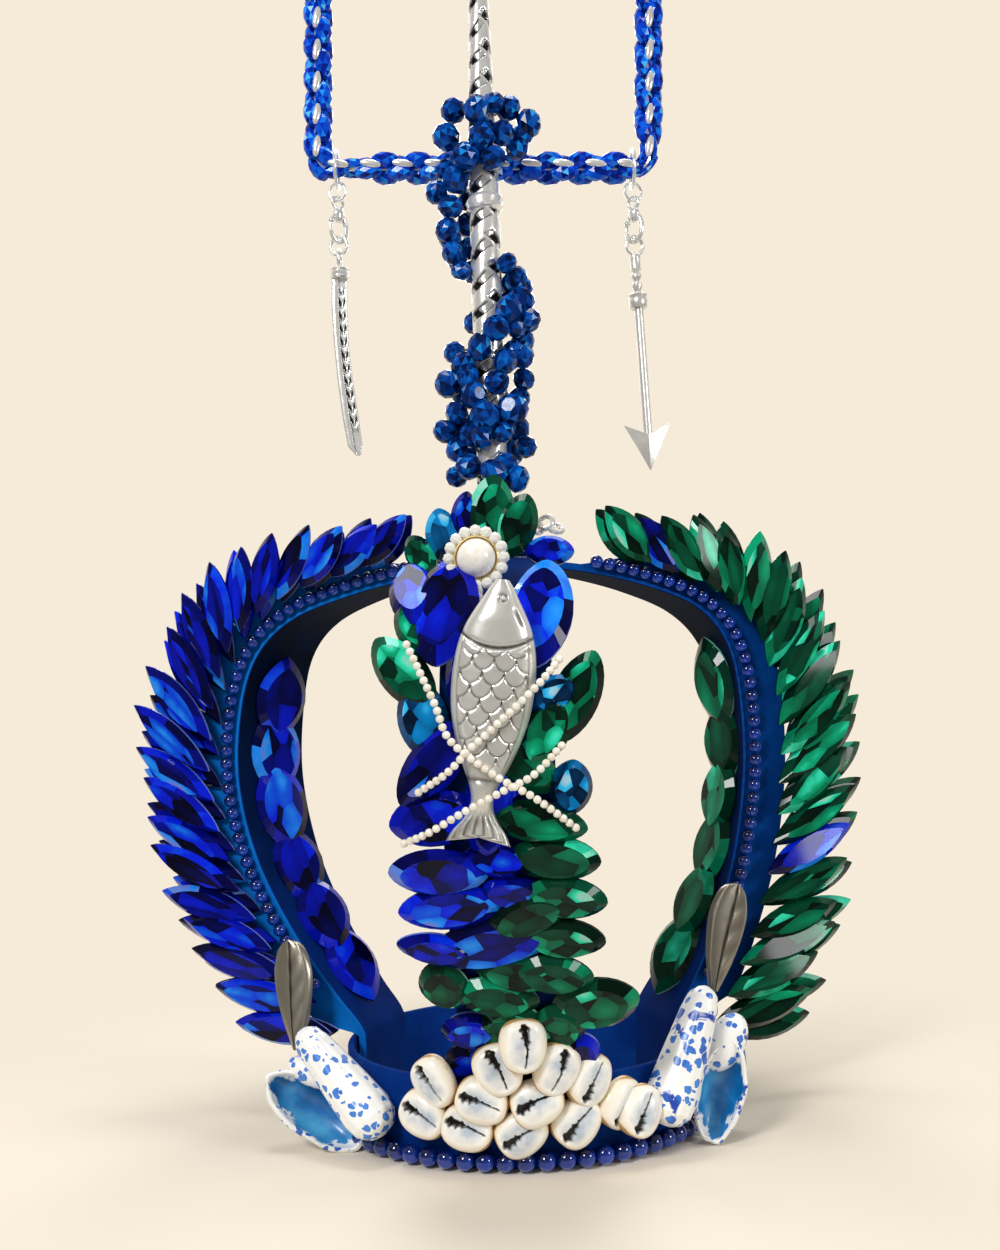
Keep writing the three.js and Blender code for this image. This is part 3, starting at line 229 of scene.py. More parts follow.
def addNode(material, kind, inputs=None):
    # one node; each of its inputs is another node's output, a number, a colour or a setting of its own
    node = material.node_tree.nodes.new("ShaderNode" + kind)
    for key, value in (inputs or {}).items():
        if key == "stops":
            for k, (place, colour) in enumerate(value):
                elements = node.color_ramp.elements
                stop = elements[k] if k < 2 else elements.new(place)
                stop.position, stop.color = place, linear(colour)
        elif isinstance(value, bpy.types.NodeSocket):
            material.node_tree.links.new(value, node.inputs[key])
        elif isinstance(key, int) or key in node.inputs:
            node.inputs[key].default_value = linear(value) if isinstance(value, str) else value
        else:
            setattr(node, key, value)
    return node


def newFinish(name, shader):
    # a material of one principled shader
    material = bpy.data.materials.new(name)
    material.use_nodes = True
    material.node_tree.nodes.clear()
    base = addNode(material, "BsdfPrincipled", shader)
    addNode(material, "OutputMaterial", {0: base.outputs[0]})
    return material, base


def coloured(material, base, colour):
    # the shader's colour from another node
    material.node_tree.links.new(colour, base.inputs["Base Color"])
    return material


def maths(material, operation, *parts):
    # one step of arithmetic; MULTIPLY_ADD is the first part times the second, plus the third
    return addNode(material, "Math", {"operation": operation, **dict(enumerate(parts))}).outputs[0]


def reading(material, key):
    # a piece's own numbers, as addPiece stored them
    return addNode(material, "Attribute", {"attribute_name": key}).outputs["Fac"]


def ownPlace(material):
    # the piece's own coordinates, in metres
    return addNode(material, "TexCoord").outputs["Object"]


def noise(material, scale, detail=3.0, **more):
    # soft noise; the scale is in waves for each metre
    return addNode(material, "TexNoise", {"Scale": scale, "Detail": detail, **more, "Vector": ownPlace(material)})


def ramp(material, stops, share):
    # a colour for each share, with mixed colours between the stops
    return addNode(material, "ValToRGB", {"stops": stops, "Fac": share}).outputs[0]


def mixed(material, share, first, second):
    # first where the share is 0, second where it is 1
    return addNode(material, "Mix", {"data_type": "RGBA", "Factor": share, 6: first, 7: second}).outputs[2]


def bumped(material, base, scale, height, detail, strength):
    # fine unevenness from noise, height in metres
    rough = noise(material, scale, detail).outputs[0]
    bump = addNode(material, "Bump", {"Strength": strength, "Distance": height, "Height": rough})
    material.node_tree.links.new(bump.outputs[0], base.inputs["Normal"])
    return rough


glassSettings = {"cloud": 190.0, "cloudy": 0.2, "apart": (43.0, 17.0), "uneven": 0.9}


def cutGlass(name, stops):
    # foil-backed cut glass with painted reflections: each facet has its own tone, and the table shows the foil's
    # facets as long cells from near black to a painted bright flash, a little lighter in the middle of each cell as
    # painted inner reflection
    material, base = newFinish(name, {"Roughness": 0.06, "IOR": 1.56, "Specular IOR Level": 0.16})
    s = glassSettings
    seed = reading(material, "seed")
    along = maths(material, "MULTIPLY_ADD", seed, s["apart"][0], reading(material, "lengthwise"))
    aside = maths(material, "MULTIPLY_ADD", seed, s["apart"][1], reading(material, "crosswise"))
    spot = addNode(material, "CombineXYZ", {0: along, 1: aside, 2: seed}).outputs[0]
    cells = addNode(material, "TexVoronoi", {"Scale": 1.0, "Randomness": s["uneven"], "Vector": spot})
    shade = addNode(material, "SeparateColor", {0: cells.outputs["Color"]}).outputs[0]
    lit = maths(material, "ADD", shade, maths(material, "MULTIPLY_ADD", cells.outputs["Distance"], -0.3, 0.13))
    pick = addNode(material, "Mix", {"data_type": "FLOAT", 0: reading(material, "table"),
                                     2: reading(material, "facet"), 3: lit}).outputs[0]
    mix = maths(material, "MULTIPLY_ADD", noise(material, s["cloud"], 2.0).outputs[0], s["cloudy"], pick)
    return coloured(material, base, ramp(material, stops, maths(material, "SUBTRACT", mix, s["cloudy"] / 2)))


def paintFinish(name, stops):
    # brushed-on enamel over band metal, satin; its tone attribute carries painted light and shade: brightest on the
    # front edges as painted light, darkest inside the arches as painted shade
    material, base = newFinish(name, {"Roughness": 0.7, "IOR": 1.5, "Specular IOR Level": 0.04})
    rough = bumped(material, base, 90.0, 0.0004, 4.0, 0.35)
    # the tone attribute places painted light and shade on the ramp
    mix = maths(material, "MULTIPLY_ADD", rough, 0.3, reading(material, "tone"))
    return coloured(material, base, ramp(material, stops, maths(material, "SUBTRACT", mix, 0.15)))


def metalFinish(name, dark, light, roughness, grain=260.0, metallic=1.0):
    # cast or plated metal: bright on the high parts, darkened where the attribute recess is high
    material, base = newFinish(name, {"Metallic": metallic, "Roughness": roughness})
    rough = bumped(material, base, grain, 0.00025, 3.0, 0.4)
    mix = maths(material, "MULTIPLY_ADD", rough, 0.25, reading(material, "recess"))
    return coloured(material, base, ramp(material, [(0.12, light), (0.9, dark)], mix))


def beadFinish(name, dark, light):
    # pressed glass bead: deep body colour and hard gloss; a painted glow lightens the side away from the key lamp,
    # standing in for light that gathers there in glass, and some beads are a little lighter
    material, base = newFinish(name, {"Roughness": 0.07, "IOR": 1.52, "Coat Weight": 0.6, "Coat Roughness": 0.04})
    normal = addNode(material, "NewGeometry").outputs["Normal"]
    turn = addNode(material, "VectorMath", {"operation": "DOT_PRODUCT", 0: normal, 1: (-0.45, -0.3, 0.84)})
    calm = maths(material, "MULTIPLY_ADD", reading(material, "facet"), 0.25, 0.32)
    # painted glow: lighter where the normal faces away from the key lamp
    paintedGlow = maths(material, "MULTIPLY_ADD", turn.outputs["Value"], -0.5, calm)
    return coloured(material, base, ramp(material, [(0.0, dark), (1.0, light)], paintedGlow))


def pearlFinish(name, low, high):
    # imitation pearl: cream under a thin bright coat
    material, base = newFinish(name, {"Roughness": 0.22, "IOR": 1.53, "Coat Weight": 0.6, "Coat Roughness": 0.08,
                                      "Sheen Weight": 0.2})
    return coloured(material, base, ramp(material, [(0.3, low), (0.6, high)],
                                         bumped(material, base, 500.0, 0.0001, 2.0, 0.2)))


# each ramp runs from the glass's body colour up to painted flashes and highlights at its top stops
glassTones = {"foiledBlueGlass": [(0.0, "#00011c"), (0.26, "#02085c"), (0.5, "#0411a4"), (0.7, "#0620d4"),
                                  (0.82, "#0a50d8"), (0.93, "#1f8af0"), (1.0, "#6c7acb")],
              "foiledGreenGlass": [(0.0, "#00120c"), (0.26, "#012f20"), (0.5, "#034630"), (0.7, "#046c4a"),
                                   (0.86, "#0a9c70"), (0.95, "#34d8b0"), (1.0, "#90ccb8")],
              "foiledTealGlass": [(0.0, "#01142a"), (0.3, "#022f58"), (0.55, "#045488"), (0.78, "#0980c4"),
                                  (0.93, "#38bcf0"), (1.0, "#9ccce0")],
              "cutNavyGlass": [(0.0, "#010a28"), (0.3, "#03286a"), (0.55, "#0546a2"), (0.78, "#0a68c4"),
                               (0.9, "#1795e0"), (1.0, "#dfe8f0")],
              "cutRoyalGlass": [(0.0, "#020e58"), (0.28, "#0430b4"), (0.52, "#0a54dc"), (0.76, "#1684f4"),
                                (0.9, "#4cc4ff"), (1.0, "#dfe6f6")]}
blueStone, greenStone, tealStone, cutBead, ovalBead = [cutGlass(name, stops) for name, stops in glassTones.items()]
enamel = paintFinish("enamelOnBandMetal", [(0.0, "#010f22"), (0.25, "#011a48"), (0.5, "#022a74"),
                                           (0.78, "#0550a8"), (1.0, "#0a70c8")])
darkBead = beadFinish("pressedBlueGlass", "#00093c", "#0848cc")
silver = metalFinish("polishedSilverPlate", "#23211f", "#fbfbf9", 0.2, metallic=0.62)
pewter = metalFinish("castPewter", "#45413a", "#ecebe6", 0.28, metallic=0.6)
oldPewter = metalFinish("agedPewter", "#4a443a", "#b9b3a6", 0.3, 160.0, 0.85)
gold = metalFinish("giltRim", "#9a7434", "#f0dba4", 0.28)
pearl = pearlFinish("imitationPearl", "#efe6d4", "#fbf8f0")
seedPearl = pearlFinish("seedPearl", "#e8dcc6", "#faf5ea")
crystal, _ = newFinish("clearCrystal", {"Base Color": "#faf8f0", "Roughness": 0.08, "IOR": 1.55,
                                        "Transmission Weight": 0.15, "Coat Weight": 0.7})

ringSettings = {"inner": 54.5, "outer": 56.5, "height": 25.4, "roll": 0.7, "sides": 160, "tone": 0.52}
archSettings = {"height": 178.0, "wall": 2.2, "width": 30.0, "topWidth": 15.0, "clearance": 1.3, "twist": 17.0,
                "lower": [(0, 0), (0.22, 0.082), (0.55, 0.212), (0.85, 0.376), (1, 0.553)],
                "upper": [(0.985, 0.718), (0.92, 0.841), (0.78, 0.918), (0.55, 0.965), (0.3, 0.994), (0.16, 1)],
                "foot": math.sqrt(53.26 ** 2 - 15 ** 2) - 2.2, "stations": 150}
# bright: how light each flange is painted; the right flange is painted darker than the left, as painted shade on the
# side away from the key lamp
flangeSettings = {"width": 17.5, "topWidth": 9.5, "lip": 1.4, "rise": 1.0, "edge": 0.04, "swell": 3.0, "soft": 0.3,
                  "until": 23, "bright": {"left": 0.95, "right": 0.66}}
archHeight, archWall = archSettings["height"], archSettings["wall"]


class Arch:
    # a half arch: its line runs in a plane through the axis, t from 0 at the foot to 1 at the cap
    def __init__(self, azimuth, reach, rearward, twist):
        # the line passes through shares of the reach and of the height
        s = archSettings
        start = ringSettings["height"] + s["clearance"]
        span = s["height"] - start
        points = [(s["foot"], 3), (s["foot"], start / 2)]
        points += [(s["foot"] + (reach - s["foot"]) * o, start + span * r) for o, r in s["lower"]]
        points += [(reach * o, start + span * r) for o, r in s["upper"]]
        line = clampedSpline(points)
        run = runOf(line)
        self.shares = np.linspace(0, 1, 1201)
        self.line = readAt(self.shares * run[-1], run, line)
        self.tangent = unitVector(np.gradient(self.line, axis=0))
        a = math.radians(azimuth)
        self.out = np.array([math.cos(a), math.sin(a), 0.0])
        self.rear = np.array([-self.out[1], self.out[0], 0.0]) * rearward
        self.front, self.twist = -self.rear, twist

    def world(self, flat):
        # (outwards, up) as xyz
        return flat[..., :1] * self.out + flat[..., 1:] * up

    def place(self, t):
        # the line's point at t
        return self.world(readAt(t, self.shares, self.line))

    def rise(self, t):
        # the direction up the line
        return self.world(readAt(t, self.shares, self.tangent))

    def normal(self, t):
        # that direction turned a quarter outwards
        tangent = readAt(t, self.shares, self.tangent)
        return self.world(np.stack([tangent[..., 1], -tangent[..., 0]], -1))

    def width(self, t):
        # full width up to 0.6 of the way, then narrowing smoothly
        s = archSettings
        return s["width"] + (s["topWidth"] - s["width"]) * smoothStep(t, 0.6, 1)

    def strip(self, t):
        # the band's width direction, turned by the twist times the squared sine of the way up
        a = -np.radians(self.twist * np.sin(np.pi * np.asarray(t)) ** 2)[..., None]
        return self.rear * np.cos(a) + np.cross(up, self.rear) * np.sin(a)

    def edge(self, t, n, f):
        # a place on the front edge: n outwards, f in front of it
        n, f = np.asarray(n)[..., None], np.asarray(f)[..., None]
        return self.place(t) - self.strip(t) * self.width(t)[..., None] / 2 + self.normal(t) * n + self.front * f

    def above(self, height):
        # the first t above a height
        return self.shares[np.argmax(self.line[:, 1] > height)]

    def beyond(self, radius):
        # the last t further out than a radius
        return self.shares[len(self.shares) - 1 - np.argmax(self.line[::-1, 0] > radius)]


twist = archSettings["twist"]
frontArch, leftArch, rightArch = Arch(267, 86, 1, 0), Arch(160, 90, -1, twist), Arch(20, 82, 1, twist)
sideArches = {"left": leftArch, "right": rightArch}


def softened(rings, size):
    # each corner of a section cut into two, size away from it or a third of the side
    def step(v):
        long = np.linalg.norm(v, axis=-1, keepdims=True)
        return v / np.maximum(long, 1e-9) * np.minimum(size, long / 3)
    pair = [rings + step(np.roll(rings, way, 1) - rings) for way in (1, -1)]
    return np.stack(pair, 2).reshape(len(rings), -1, 3)


def flangedBand(arch, bright):
    # the band with its front flange and lip, which swell up above the ring and run out at the cap;
    # its paint is brightest on the flange and lip, as painted light, and darkens up the inner wall, as painted shade
    s, wall = flangeSettings, archWall
    low, high = arch.above(ringSettings["height"] + fit), arch.beyond(s["until"])
    t = np.concatenate([[0, low / 2], np.linspace(low, 1, archSettings["stations"])])
    share = np.clip((t - low) / (high - low), 0, 1)
    swell = s["edge"] + (1 - s["edge"]) * np.minimum(1, np.sin(np.pi * share) * s["swell"])
    full = s["width"] + (s["topWidth"] - s["width"]) * smoothStep(share, 0.6, 1)
    reach = wall + (full - wall) * swell
    lip, zero = s["rise"] * swell, np.zeros(len(t))
    # rear(n): a place on the rear edge, n outwards
    rear = lambda n: arch.place(t) + arch.strip(t) * arch.width(t)[:, None] / 2 + arch.normal(t) * n
    sections = [(zero + wall, zero - wall), (reach, zero - wall), (reach, zero), (zero + s["lip"], zero),
                (zero + s["lip"], lip), (zero, lip)]
    corners = [arch.edge(t, n, f) for n, f in sections] + [rear(0), rear(wall)]
    # painted light and shade by face: the flange and lip take the bright tone and the inner wall is painted darker
    tone = np.tile([0.3] * 3 + [bright] * 8 + [0.0] * 3 + [0.2] * 2, (len(t), 1))
    # painted shade: the inner wall darkens further with height
    tone[:, 11:14] = (0.42 - 0.38 * smoothStep(t, 0.2, 0.7))[:, None]
    return closedTube(softened(np.stack(corners, 1), s["soft"])), {"tone": capped(tone, 0.2, 0.2)}


def plainBand(arch):
    # the front band, a flat strip with softened edges
    t = np.linspace(0, 1, archSettings["stations"])
    side = arch.rear * (arch.width(t) / 2)[:, None]
    out = arch.normal(t) * archWall
    corners = [arch.place(t) - side, arch.place(t) - side + out, arch.place(t) + side + out, arch.place(t) + side]
    return closedTube(softened(np.stack(corners, 1), 0.5))


def addPainted(name, shape, tone, replaced):
    # a shape in one tone of paint
    addPiece(name, shape, enamel, [replaced], values={"tone": np.full(len(shape[0]), tone)})


s = ringSettings
high, roll = s["height"], s["roll"]
half = [(s["outer"] - roll / 2, 0), (s["outer"], roll / 2), (s["outer"], high - roll),
        (s["outer"] - roll / 3, high - roll / 3), (s["outer"] - roll, high)]
ringProfile = half + [(s["inner"] + s["outer"] - r, z) for r, z in half[::-1]]
rings = turned(ringProfile, s["sides"])
addPainted("ring_band", (rings.reshape(-1, 3), gridFaces(len(ringProfile), s["sides"], True).tolist()), s["tone"],
           "base_ring")
addPainted("front_band", plainBand(frontArch), 0.34, "front_arch")
for side, arch in sideArches.items():
    shape, values = flangedBand(arch, flangeSettings["bright"][side])
    addPiece(f"{side}_band", shape, enamel, [f"{side}_arch"], values=values)

capSettings = {"centre": -4.0, "bottom": 180.5, "radius": 19.0, "thick": 3.0, "socket": 7.5, "tall": 12.0,
               "bore": 5.1, "tone": 0.25, "sides": 64}
s = capSettings
low, thick, tall, wide, neck = s["bottom"], s["thick"], s["tall"], s["radius"], s["socket"]
capProfile = [(0.4, 0), (wide - 0.5, 0), (wide, 0.5), (wide, thick - 0.8), (wide - 0.8, thick),
              (neck + 3, thick + 1.2), (neck, 2 * thick), (neck, tall - 0.5), (neck - 0.5, tall), (s["bore"], tall),
              (s["bore"], thick), (0.4, thick)]
addPainted("cap_dome", closedTube(turned(capProfile, s["sides"]) + np.array([s["centre"], 0, low])), s["tone"],
           "crown_cap")
print("bands done")

stoneSettings = {"length": 37.5, "width": 11.4, "depth": 4.4, "step": 0.7, "root": 6.6, "low": 32.0, "top": 43.0,
                 "topShare": 0.64, "fan": 15, "sides": 28, "ends": (0.86, 0.62), "cells": ((2.0, 3.0), (3.5, 3.1)),
                 "tones": [0.08, 0.3, 0.5, 0.7, 0.9], "often": [0.3, 0.24, 0.2, 0.14, 0.12]}
stoneDepth = stoneSettings["depth"]


def cutStone(sides, ends):
    # unit stone: root at 0 and tip at 1 along x, width 1 along y, foil at z 0 and table at z 1;
    # half its width at x is (1 - (2x - 1)^2)^ends, so 1 gives pointed ends and 0.5 an ellipse
    a = around(sides)
    outline = np.stack([0.5 * np.cos(a), 0.5 * np.sign(np.sin(a)) * np.abs(np.sin(a)) ** (2 * ends)], -1)
    levels = [(0.84, 0.0), (1.0, 0.3), (1.0, 0.47), (0.74, 1.0)]
    rings = np.stack([np.column_stack([outline * scale + [0.5, 0], np.full(sides, z)]) for scale, z in levels])
    j = np.arange(sides)
    faces = [list(range(sides))[::-1]] + gridFaces(4, sides).tolist() + [(3 * sides + j).tolist()]
    # 1 for the girdle, 2 for the bevel round the table, 3 for the table, 0 elsewhere
    kind = np.repeat([0, 0, 1, 2, 3], [1, sides, sides, sides, 1])
    group = np.concatenate([[0], j // 4, j // 4, (j + 2) // 4 % (sides // 4), [0]])
    return rings.reshape(-1, 3), faces, kind, group


def perItem(v, count):
    # one number, or one for each, as a column
    return np.broadcast_to(np.asarray(v, float), (count,))[:, None]


def stoneFrames(root, pointing, facing, length, width, depth, roll):
    # turn and size of each stone: along, across and up, with a roll about its length in radians
    x = unitVector(pointing)
    z = unitVector(facing - x * np.sum(facing * x, -1, keepdims=True))
    y = np.cross(z, x)
    roll, count = np.asarray(roll).reshape(-1, 1), len(root)
    z, y = z * np.cos(roll) + y * np.sin(roll), y * np.cos(roll) - z * np.sin(roll)
    return np.stack([x * perItem(length, count), y * perItem(width, count), z * perItem(depth, count), root], -1)


slimStone, ovalStone = [cutStone(stoneSettings["sides"], ends) for ends in stoneSettings["ends"]]


def addStones(name, frames, material, replaced, seed, bright=0.0, stone=slimStone):
    # bevels take a seeded tone in groups of four, as painted reflections; on most stones a painted reflection makes
    # the girdle's lower side pale
    s = stoneSettings
    rng = np.random.default_rng(seed)
    points, faces, kind, group = stone
    count = len(frames)
    bevel = rng.choice(s["tones"], (count, group.max() + 1), p=s["often"])
    tone = bevel[:, group] + rng.normal(0, 0.04, (count, 1)) + bright
    lowSide = np.concatenate([[False], np.tile(np.arange(s["sides"]) >= s["sides"] // 2, 3), [False]])
    paintedGirdleReflection = np.where(rng.random((count, 1)) < 0.7, 1.0, 0.3)
    tone = np.where(kind == 1, np.where(lowSide, paintedGirdleReflection, 0.15), tone)
    wide, high = s["cells"][0 if stone is slimStone else 1]
    values = {"facet": np.clip(tone, 0, 1).ravel(), "table": np.tile(kind == 3, count),
              "seed": np.repeat(rng.random(count), len(faces)),
              "lengthwise": np.tile(points[:, 0] * wide, count), "crosswise": np.tile(points[:, 1] * high, count)}
    addPiece(name, copies(points, faces, frames), material, replaced, smooth=0, values=values)


def sprayLayer(arch, count, lean, offset, base, seed):
    # stones fanning outwards along an arch at even distances, smaller towards the top
    s = stoneSettings
    rng = np.random.default_rng(seed)
    t = np.linspace(arch.above(s["low"]), arch.beyond(s["top"]), 600)
    run = runOf(arch.edge(t, np.full(len(t), offset + s["length"] / 2), np.zeros(len(t))))
    t = np.interp(np.linspace(0, run[-1], count), run, t)
    taper = smoothStep(np.linspace(0, 1, count), 0.45, 0.97)
    size = (1 + (s["topShare"] - 1) * taper) * rng.uniform(0.93, 1.05, count)
    seat = offset + (s["root"] - offset) * taper
    a = np.radians(lean + s["fan"] * taper + rng.uniform(-5, 5, count))[:, None]
    pointing = arch.normal(t) * np.cos(a) + arch.rise(t) * np.sin(a)
    root = arch.edge(t, seat, base + (np.arange(count) % 2) * s["step"])
    facing = np.broadcast_to(arch.front, root.shape)
    return stoneFrames(root, pointing, facing, s["length"] * size, s["width"] * rng.uniform(0.92, 1.04, count),
                       s["depth"] * size, rng.uniform(0.02, 0.3, count))


wallSettings = {"count": 6, "low": 0.213, "high": 0.843, "length": 33.0, "width": 18.5, "back": 16.5, "seat": 1.8,
                "step": 0.8, "towardsFront": 0.45}


def wallRow(arch, seed):
    # navettes down the inner face of an arch, spaced evenly and turned a little to the front
    s = wallSettings
    rng, count = np.random.default_rng(seed), s["count"]
    low, high = arch.above(s["low"] * archHeight), arch.above(s["high"] * archHeight)
    t = low + (high - low) * (np.arange(count) + 0.5) / count
    facing = np.cross(arch.rise(t), arch.strip(t))
    facing = unitVector(facing * -np.sign(np.sum(facing * arch.normal(t), -1, keepdims=True)))
    facing = unitVector(facing + s["towardsFront"] * arch.front)
    pointing = unitVector(arch.rise(t) + rng.uniform(-0.12, 0.2, (count, 1)) * arch.strip(t))
    lift = s["seat"] + (np.arange(count) % 2)[:, None] * s["step"]
    root = arch.place(t) + facing * lift - pointing * s["back"]
    return stoneFrames(root, pointing, facing, s["length"] * rng.uniform(0.9, 1.02, count), s["width"], stoneDepth,
                       rng.uniform(-0.1, 0.1, count))


# each row of a column: side, height, direction, length and width, as shares but for the degrees
columnSettings = {"half": 33.0, "length": 36.0, "width": 0.081 * archHeight, "lift": 0.3, "foot": 47.7,
                  "fuller": 1.09}
blueColumn = [(-0.68, 0.9, 96, 0.68, 0.8), (-0.4, 0.871, 85, 0.92, 1.21), (0.37, 0.866, 83, 0.9, 1.13),
              (-0.5, 0.66, 50, 0.72, 0.85), (-0.5, 0.583, 8, 0.64, 0.97), (-0.5, 0.506, 178, 0.68, 0.87),
              (-0.03, 0.519, 170, 0.45, 0.6), (-0.42, 0.453, 5, 0.72, 0.8), (0.08, 0.474, 175, 0.45, 0.6),
              (-0.56, 0.391, 170, 0.55, 0.6), (-0.11, 0.395, 12, 0.92, 1.03), (-0.34, 0.248, 170, 0.42, 0.73),
              (-0.06, 0.6, 82, 0.8, 0.9), (0.0, 0.72, 88, 0.8, 0.9), (-0.2, 0.79, 80, 0.6, 0.8)]
greenColumn = [(-0.66, 0.85, 110, 0.45, 0.6), (-0.72, 0.788, 128, 0.62, 0.82), (0.62, 0.747, 65, 0.68, 0.82),
               (0.4, 0.699, 60, 0.5, 0.75), (0.2, 0.651, -30, 0.55, 0.75), (0.3, 0.576, -10, 0.68, 0.72),
               (0.43, 0.521, -6, 0.62, 0.8), (0.5, 0.464, -8, 0.58, 0.78), (0.47, 0.403, -8, 0.6, 0.85),
               (0.38, 0.346, -10, 0.58, 0.82), (0.1, 0.345, 170, 0.6, 0.75), (0.2, 0.44, 20, 0.6, 0.8)]
tealColumn = [(-0.58, 0.722, 100, 0.55, 0.85), (0.46, 0.75, 30, 0.36, 0.65), (0.56, 0.621, 80, 0.38, 0.74)]
footColumn = [(-0.52, 1.22, 100, 0.42, 0.9), (-0.1, 1.15, 170, 0.62, 0.82), (0.72, 1.086, 12, 0.64, 1.15),
              (0.42, 0.96, 100, 0.42, 0.95), (0.05, 0.99, 160, 0.45, 0.8), (-0.12, 0.92, 20, 0.5, 0.8)]
footBlue = [(-0.4, 0.7, 90, 0.42, 0.8), (0.57, 0.76, 80, 0.46, 0.8), (-0.3, 0.93, 150, 0.4, 0.7)]


def columnFrames(rows, tall, seed):
    # stones on the front arch, every other one a step further out
    s = columnSettings
    side, rise, angle, longShare, wideShare = np.array(rows, float).T
    t = np.array([frontArch.above(r * tall) for r in rise])
    a = np.radians(angle)[:, None]
    pointing = frontArch.rear * np.cos(a) + frontArch.rise(t) * np.sin(a)
    length = s["length"] * longShare * s["fuller"]
    lift = archWall + s["lift"] + (np.arange(len(rows)) % 2) * stoneSettings["step"]
    root = (frontArch.place(t) + frontArch.normal(t) * lift[:, None] + frontArch.rear * (side * s["half"])[:, None]
            - pointing * (length / 2)[:, None])
    roll = np.random.default_rng(seed).uniform(-0.16, 0.16, len(rows))
    return stoneFrames(root, pointing, frontArch.normal(t), length, s["width"] * wideShare * s["fuller"],
                       stoneDepth, roll)


frontBase = fit + stoneDepth + stoneSettings["step"] + 2 * fit
# stones, lean and offset of each layer, back first, and the seeds of its draws
spraySettings = {"left": [(19, 40, 6.6, fit, 1), (20, 44, 6.6, frontBase, 2)],
                 "right": [(19, 40, 17.0, fit, 3), (20, 44, 10.5, frontBase, 4)]}
fewBlue = [5, 18]
layers = {side: [sprayLayer(arch, *row) for row in spraySettings[side]] for side, arch in sideArches.items()}
stoneNodes = {side: [f"{side}_stones_{a}_{b}" for a in ("back", "front") for b in ("lower", "upper")]
              for side in sideArches}
rightBack, rightFront = layers["right"]
addStones("left_spray", np.concatenate(layers["left"]), blueStone, stoneNodes["left"], 11)
addStones("right_spray", np.concatenate([rightBack, np.delete(rightFront, fewBlue, 0)]), greenStone,
          stoneNodes["right"], 12)
addStones("right_spray_blue", rightFront[fewBlue], blueStone, [], 13)
addStones("left_wall_gems", wallRow(leftArch, 5), blueStone, ["left_wall_stones"], 14)
addStones("right_wall_gems", wallRow(rightArch, 6), greenStone, ["right_wall_stones"], 15)
footHigh = columnSettings["foot"]
for name, rows, tall, roll, finish, replaced, seed, bright in (
        ("column_blue_gems", blueColumn, archHeight, 7, blueStone, ["column_blue_stones"], 16, 0.0),
        ("column_green_gems", greenColumn, archHeight, 8, greenStone, ["column_green_stones"], 17, 0.0),
        ("column_teal_gems", tealColumn, archHeight, 26, tealStone, [], 24, 0.0),
        ("column_foot_gems", footColumn, footHigh, 9, greenStone, ["column_foot_stones"], 18, -0.12),
        ("column_foot_blue", footBlue, footHigh, 27, blueStone, [], 25, -0.1)):
    addStones(name, columnFrames(rows, tall, roll), finish, replaced, seed, bright, ovalStone)

# crest stones by side, height, direction, length and width
crestSettings = {"out": 30.96, "step": 0.9,
                 "green": [(-3, 191.1, 86, 25, 14.6), (4.8, 187.5, 70, 20.5, 12.4), (-24.5, 180, 120, 13.5, 9.4)],
                 "teal": [(-18, 185.2, 100, 17.5, 11)],
                 "blue": [(-11.6, 191.4, 80, 15, 8), (14.6, 179.6, 176, 15, 9.2), (-12, 181, 60, 16, 10)],
                 "wire": [(10.6, 187.6, 2.1, 0.75, (0.5, -0.8, 0.3)), (13.6, 188.8, 2.3, 0.8, (-0.4, -0.8, 0.4)),
                          (16.8, 186.9, 1.9, 0.8, (0.2, -0.7, 0.7))], "wireOut": 29.0}


def crestFrames(rows):
    # crest stones set round the cap's front, every other one a step further out
    side, high, angle, long, wide = np.array(rows, float).T
    a = np.radians(angle)[:, None]
    pointing = frontArch.rear * np.cos(a) + up * np.sin(a)
    out = crestSettings["out"] + (np.arange(len(rows)) % 2)[:, None] * crestSettings["step"]
    centre = up * high[:, None] + frontArch.out * out + frontArch.rear * side[:, None]
    facing = np.broadcast_to(frontArch.out, centre.shape)
    return stoneFrames(centre - pointing * long[:, None] / 2, pointing, facing, long, wide, stoneDepth,
                       np.linspace(-0.2, 0.2, len(rows)))


s = crestSettings
for name, tint, finish, replaced, seed, bright in (("crest_gems", "green", greenStone, ["crest_stones"], 19, 0.04),
                                                   ("crest_teal", "teal", tealStone, [], 28, 0),
                                                   ("crest_blue", "blue", blueStone, [], 29, 0.05)):
    addStones(name, crestFrames(s[tint]), finish, replaced, seed, bright, ovalStone)
# a twist of silver wire ends behind the crest's right side
rings = [wireRing(frontArch.rear * x + up * z + frontArch.out * s["wireOut"], big, wire, way)
         for x, z, big, wire, way in s["wire"]]
addPiece("crest_wire", together(*rings), silver)
print("stones done")


def ball(rows, columns, cut=False):
    # unit bead from rings of latitude; a cut one turns every other ring half a step and splits its faces
    polar = np.linspace(0, np.pi, rows + 2)[1:-1]
    turn = (np.arange(rows) % 2) * (np.pi / columns) if cut else np.zeros(rows)
    a = around(columns)[None, :] + turn[:, None]
    rings = np.stack([np.sin(polar)[:, None] * np.cos(a), np.sin(polar)[:, None] * np.sin(a),
                      np.broadcast_to(np.cos(polar)[:, None], a.shape)], -1)
    points, faces = closedTube(rings)
    if not cut:
        return points, faces
    halves = []
    for f in faces:
        if len(f) == 3:
            halves.append(f)
        elif (f[0] // columns) % 2:
            halves += [[f[0], f[1], f[2]], [f[0], f[2], f[3]]]
        else:
            halves += [[f[0], f[1], f[3]], [f[1], f[2], f[3]]]
    return points, halves


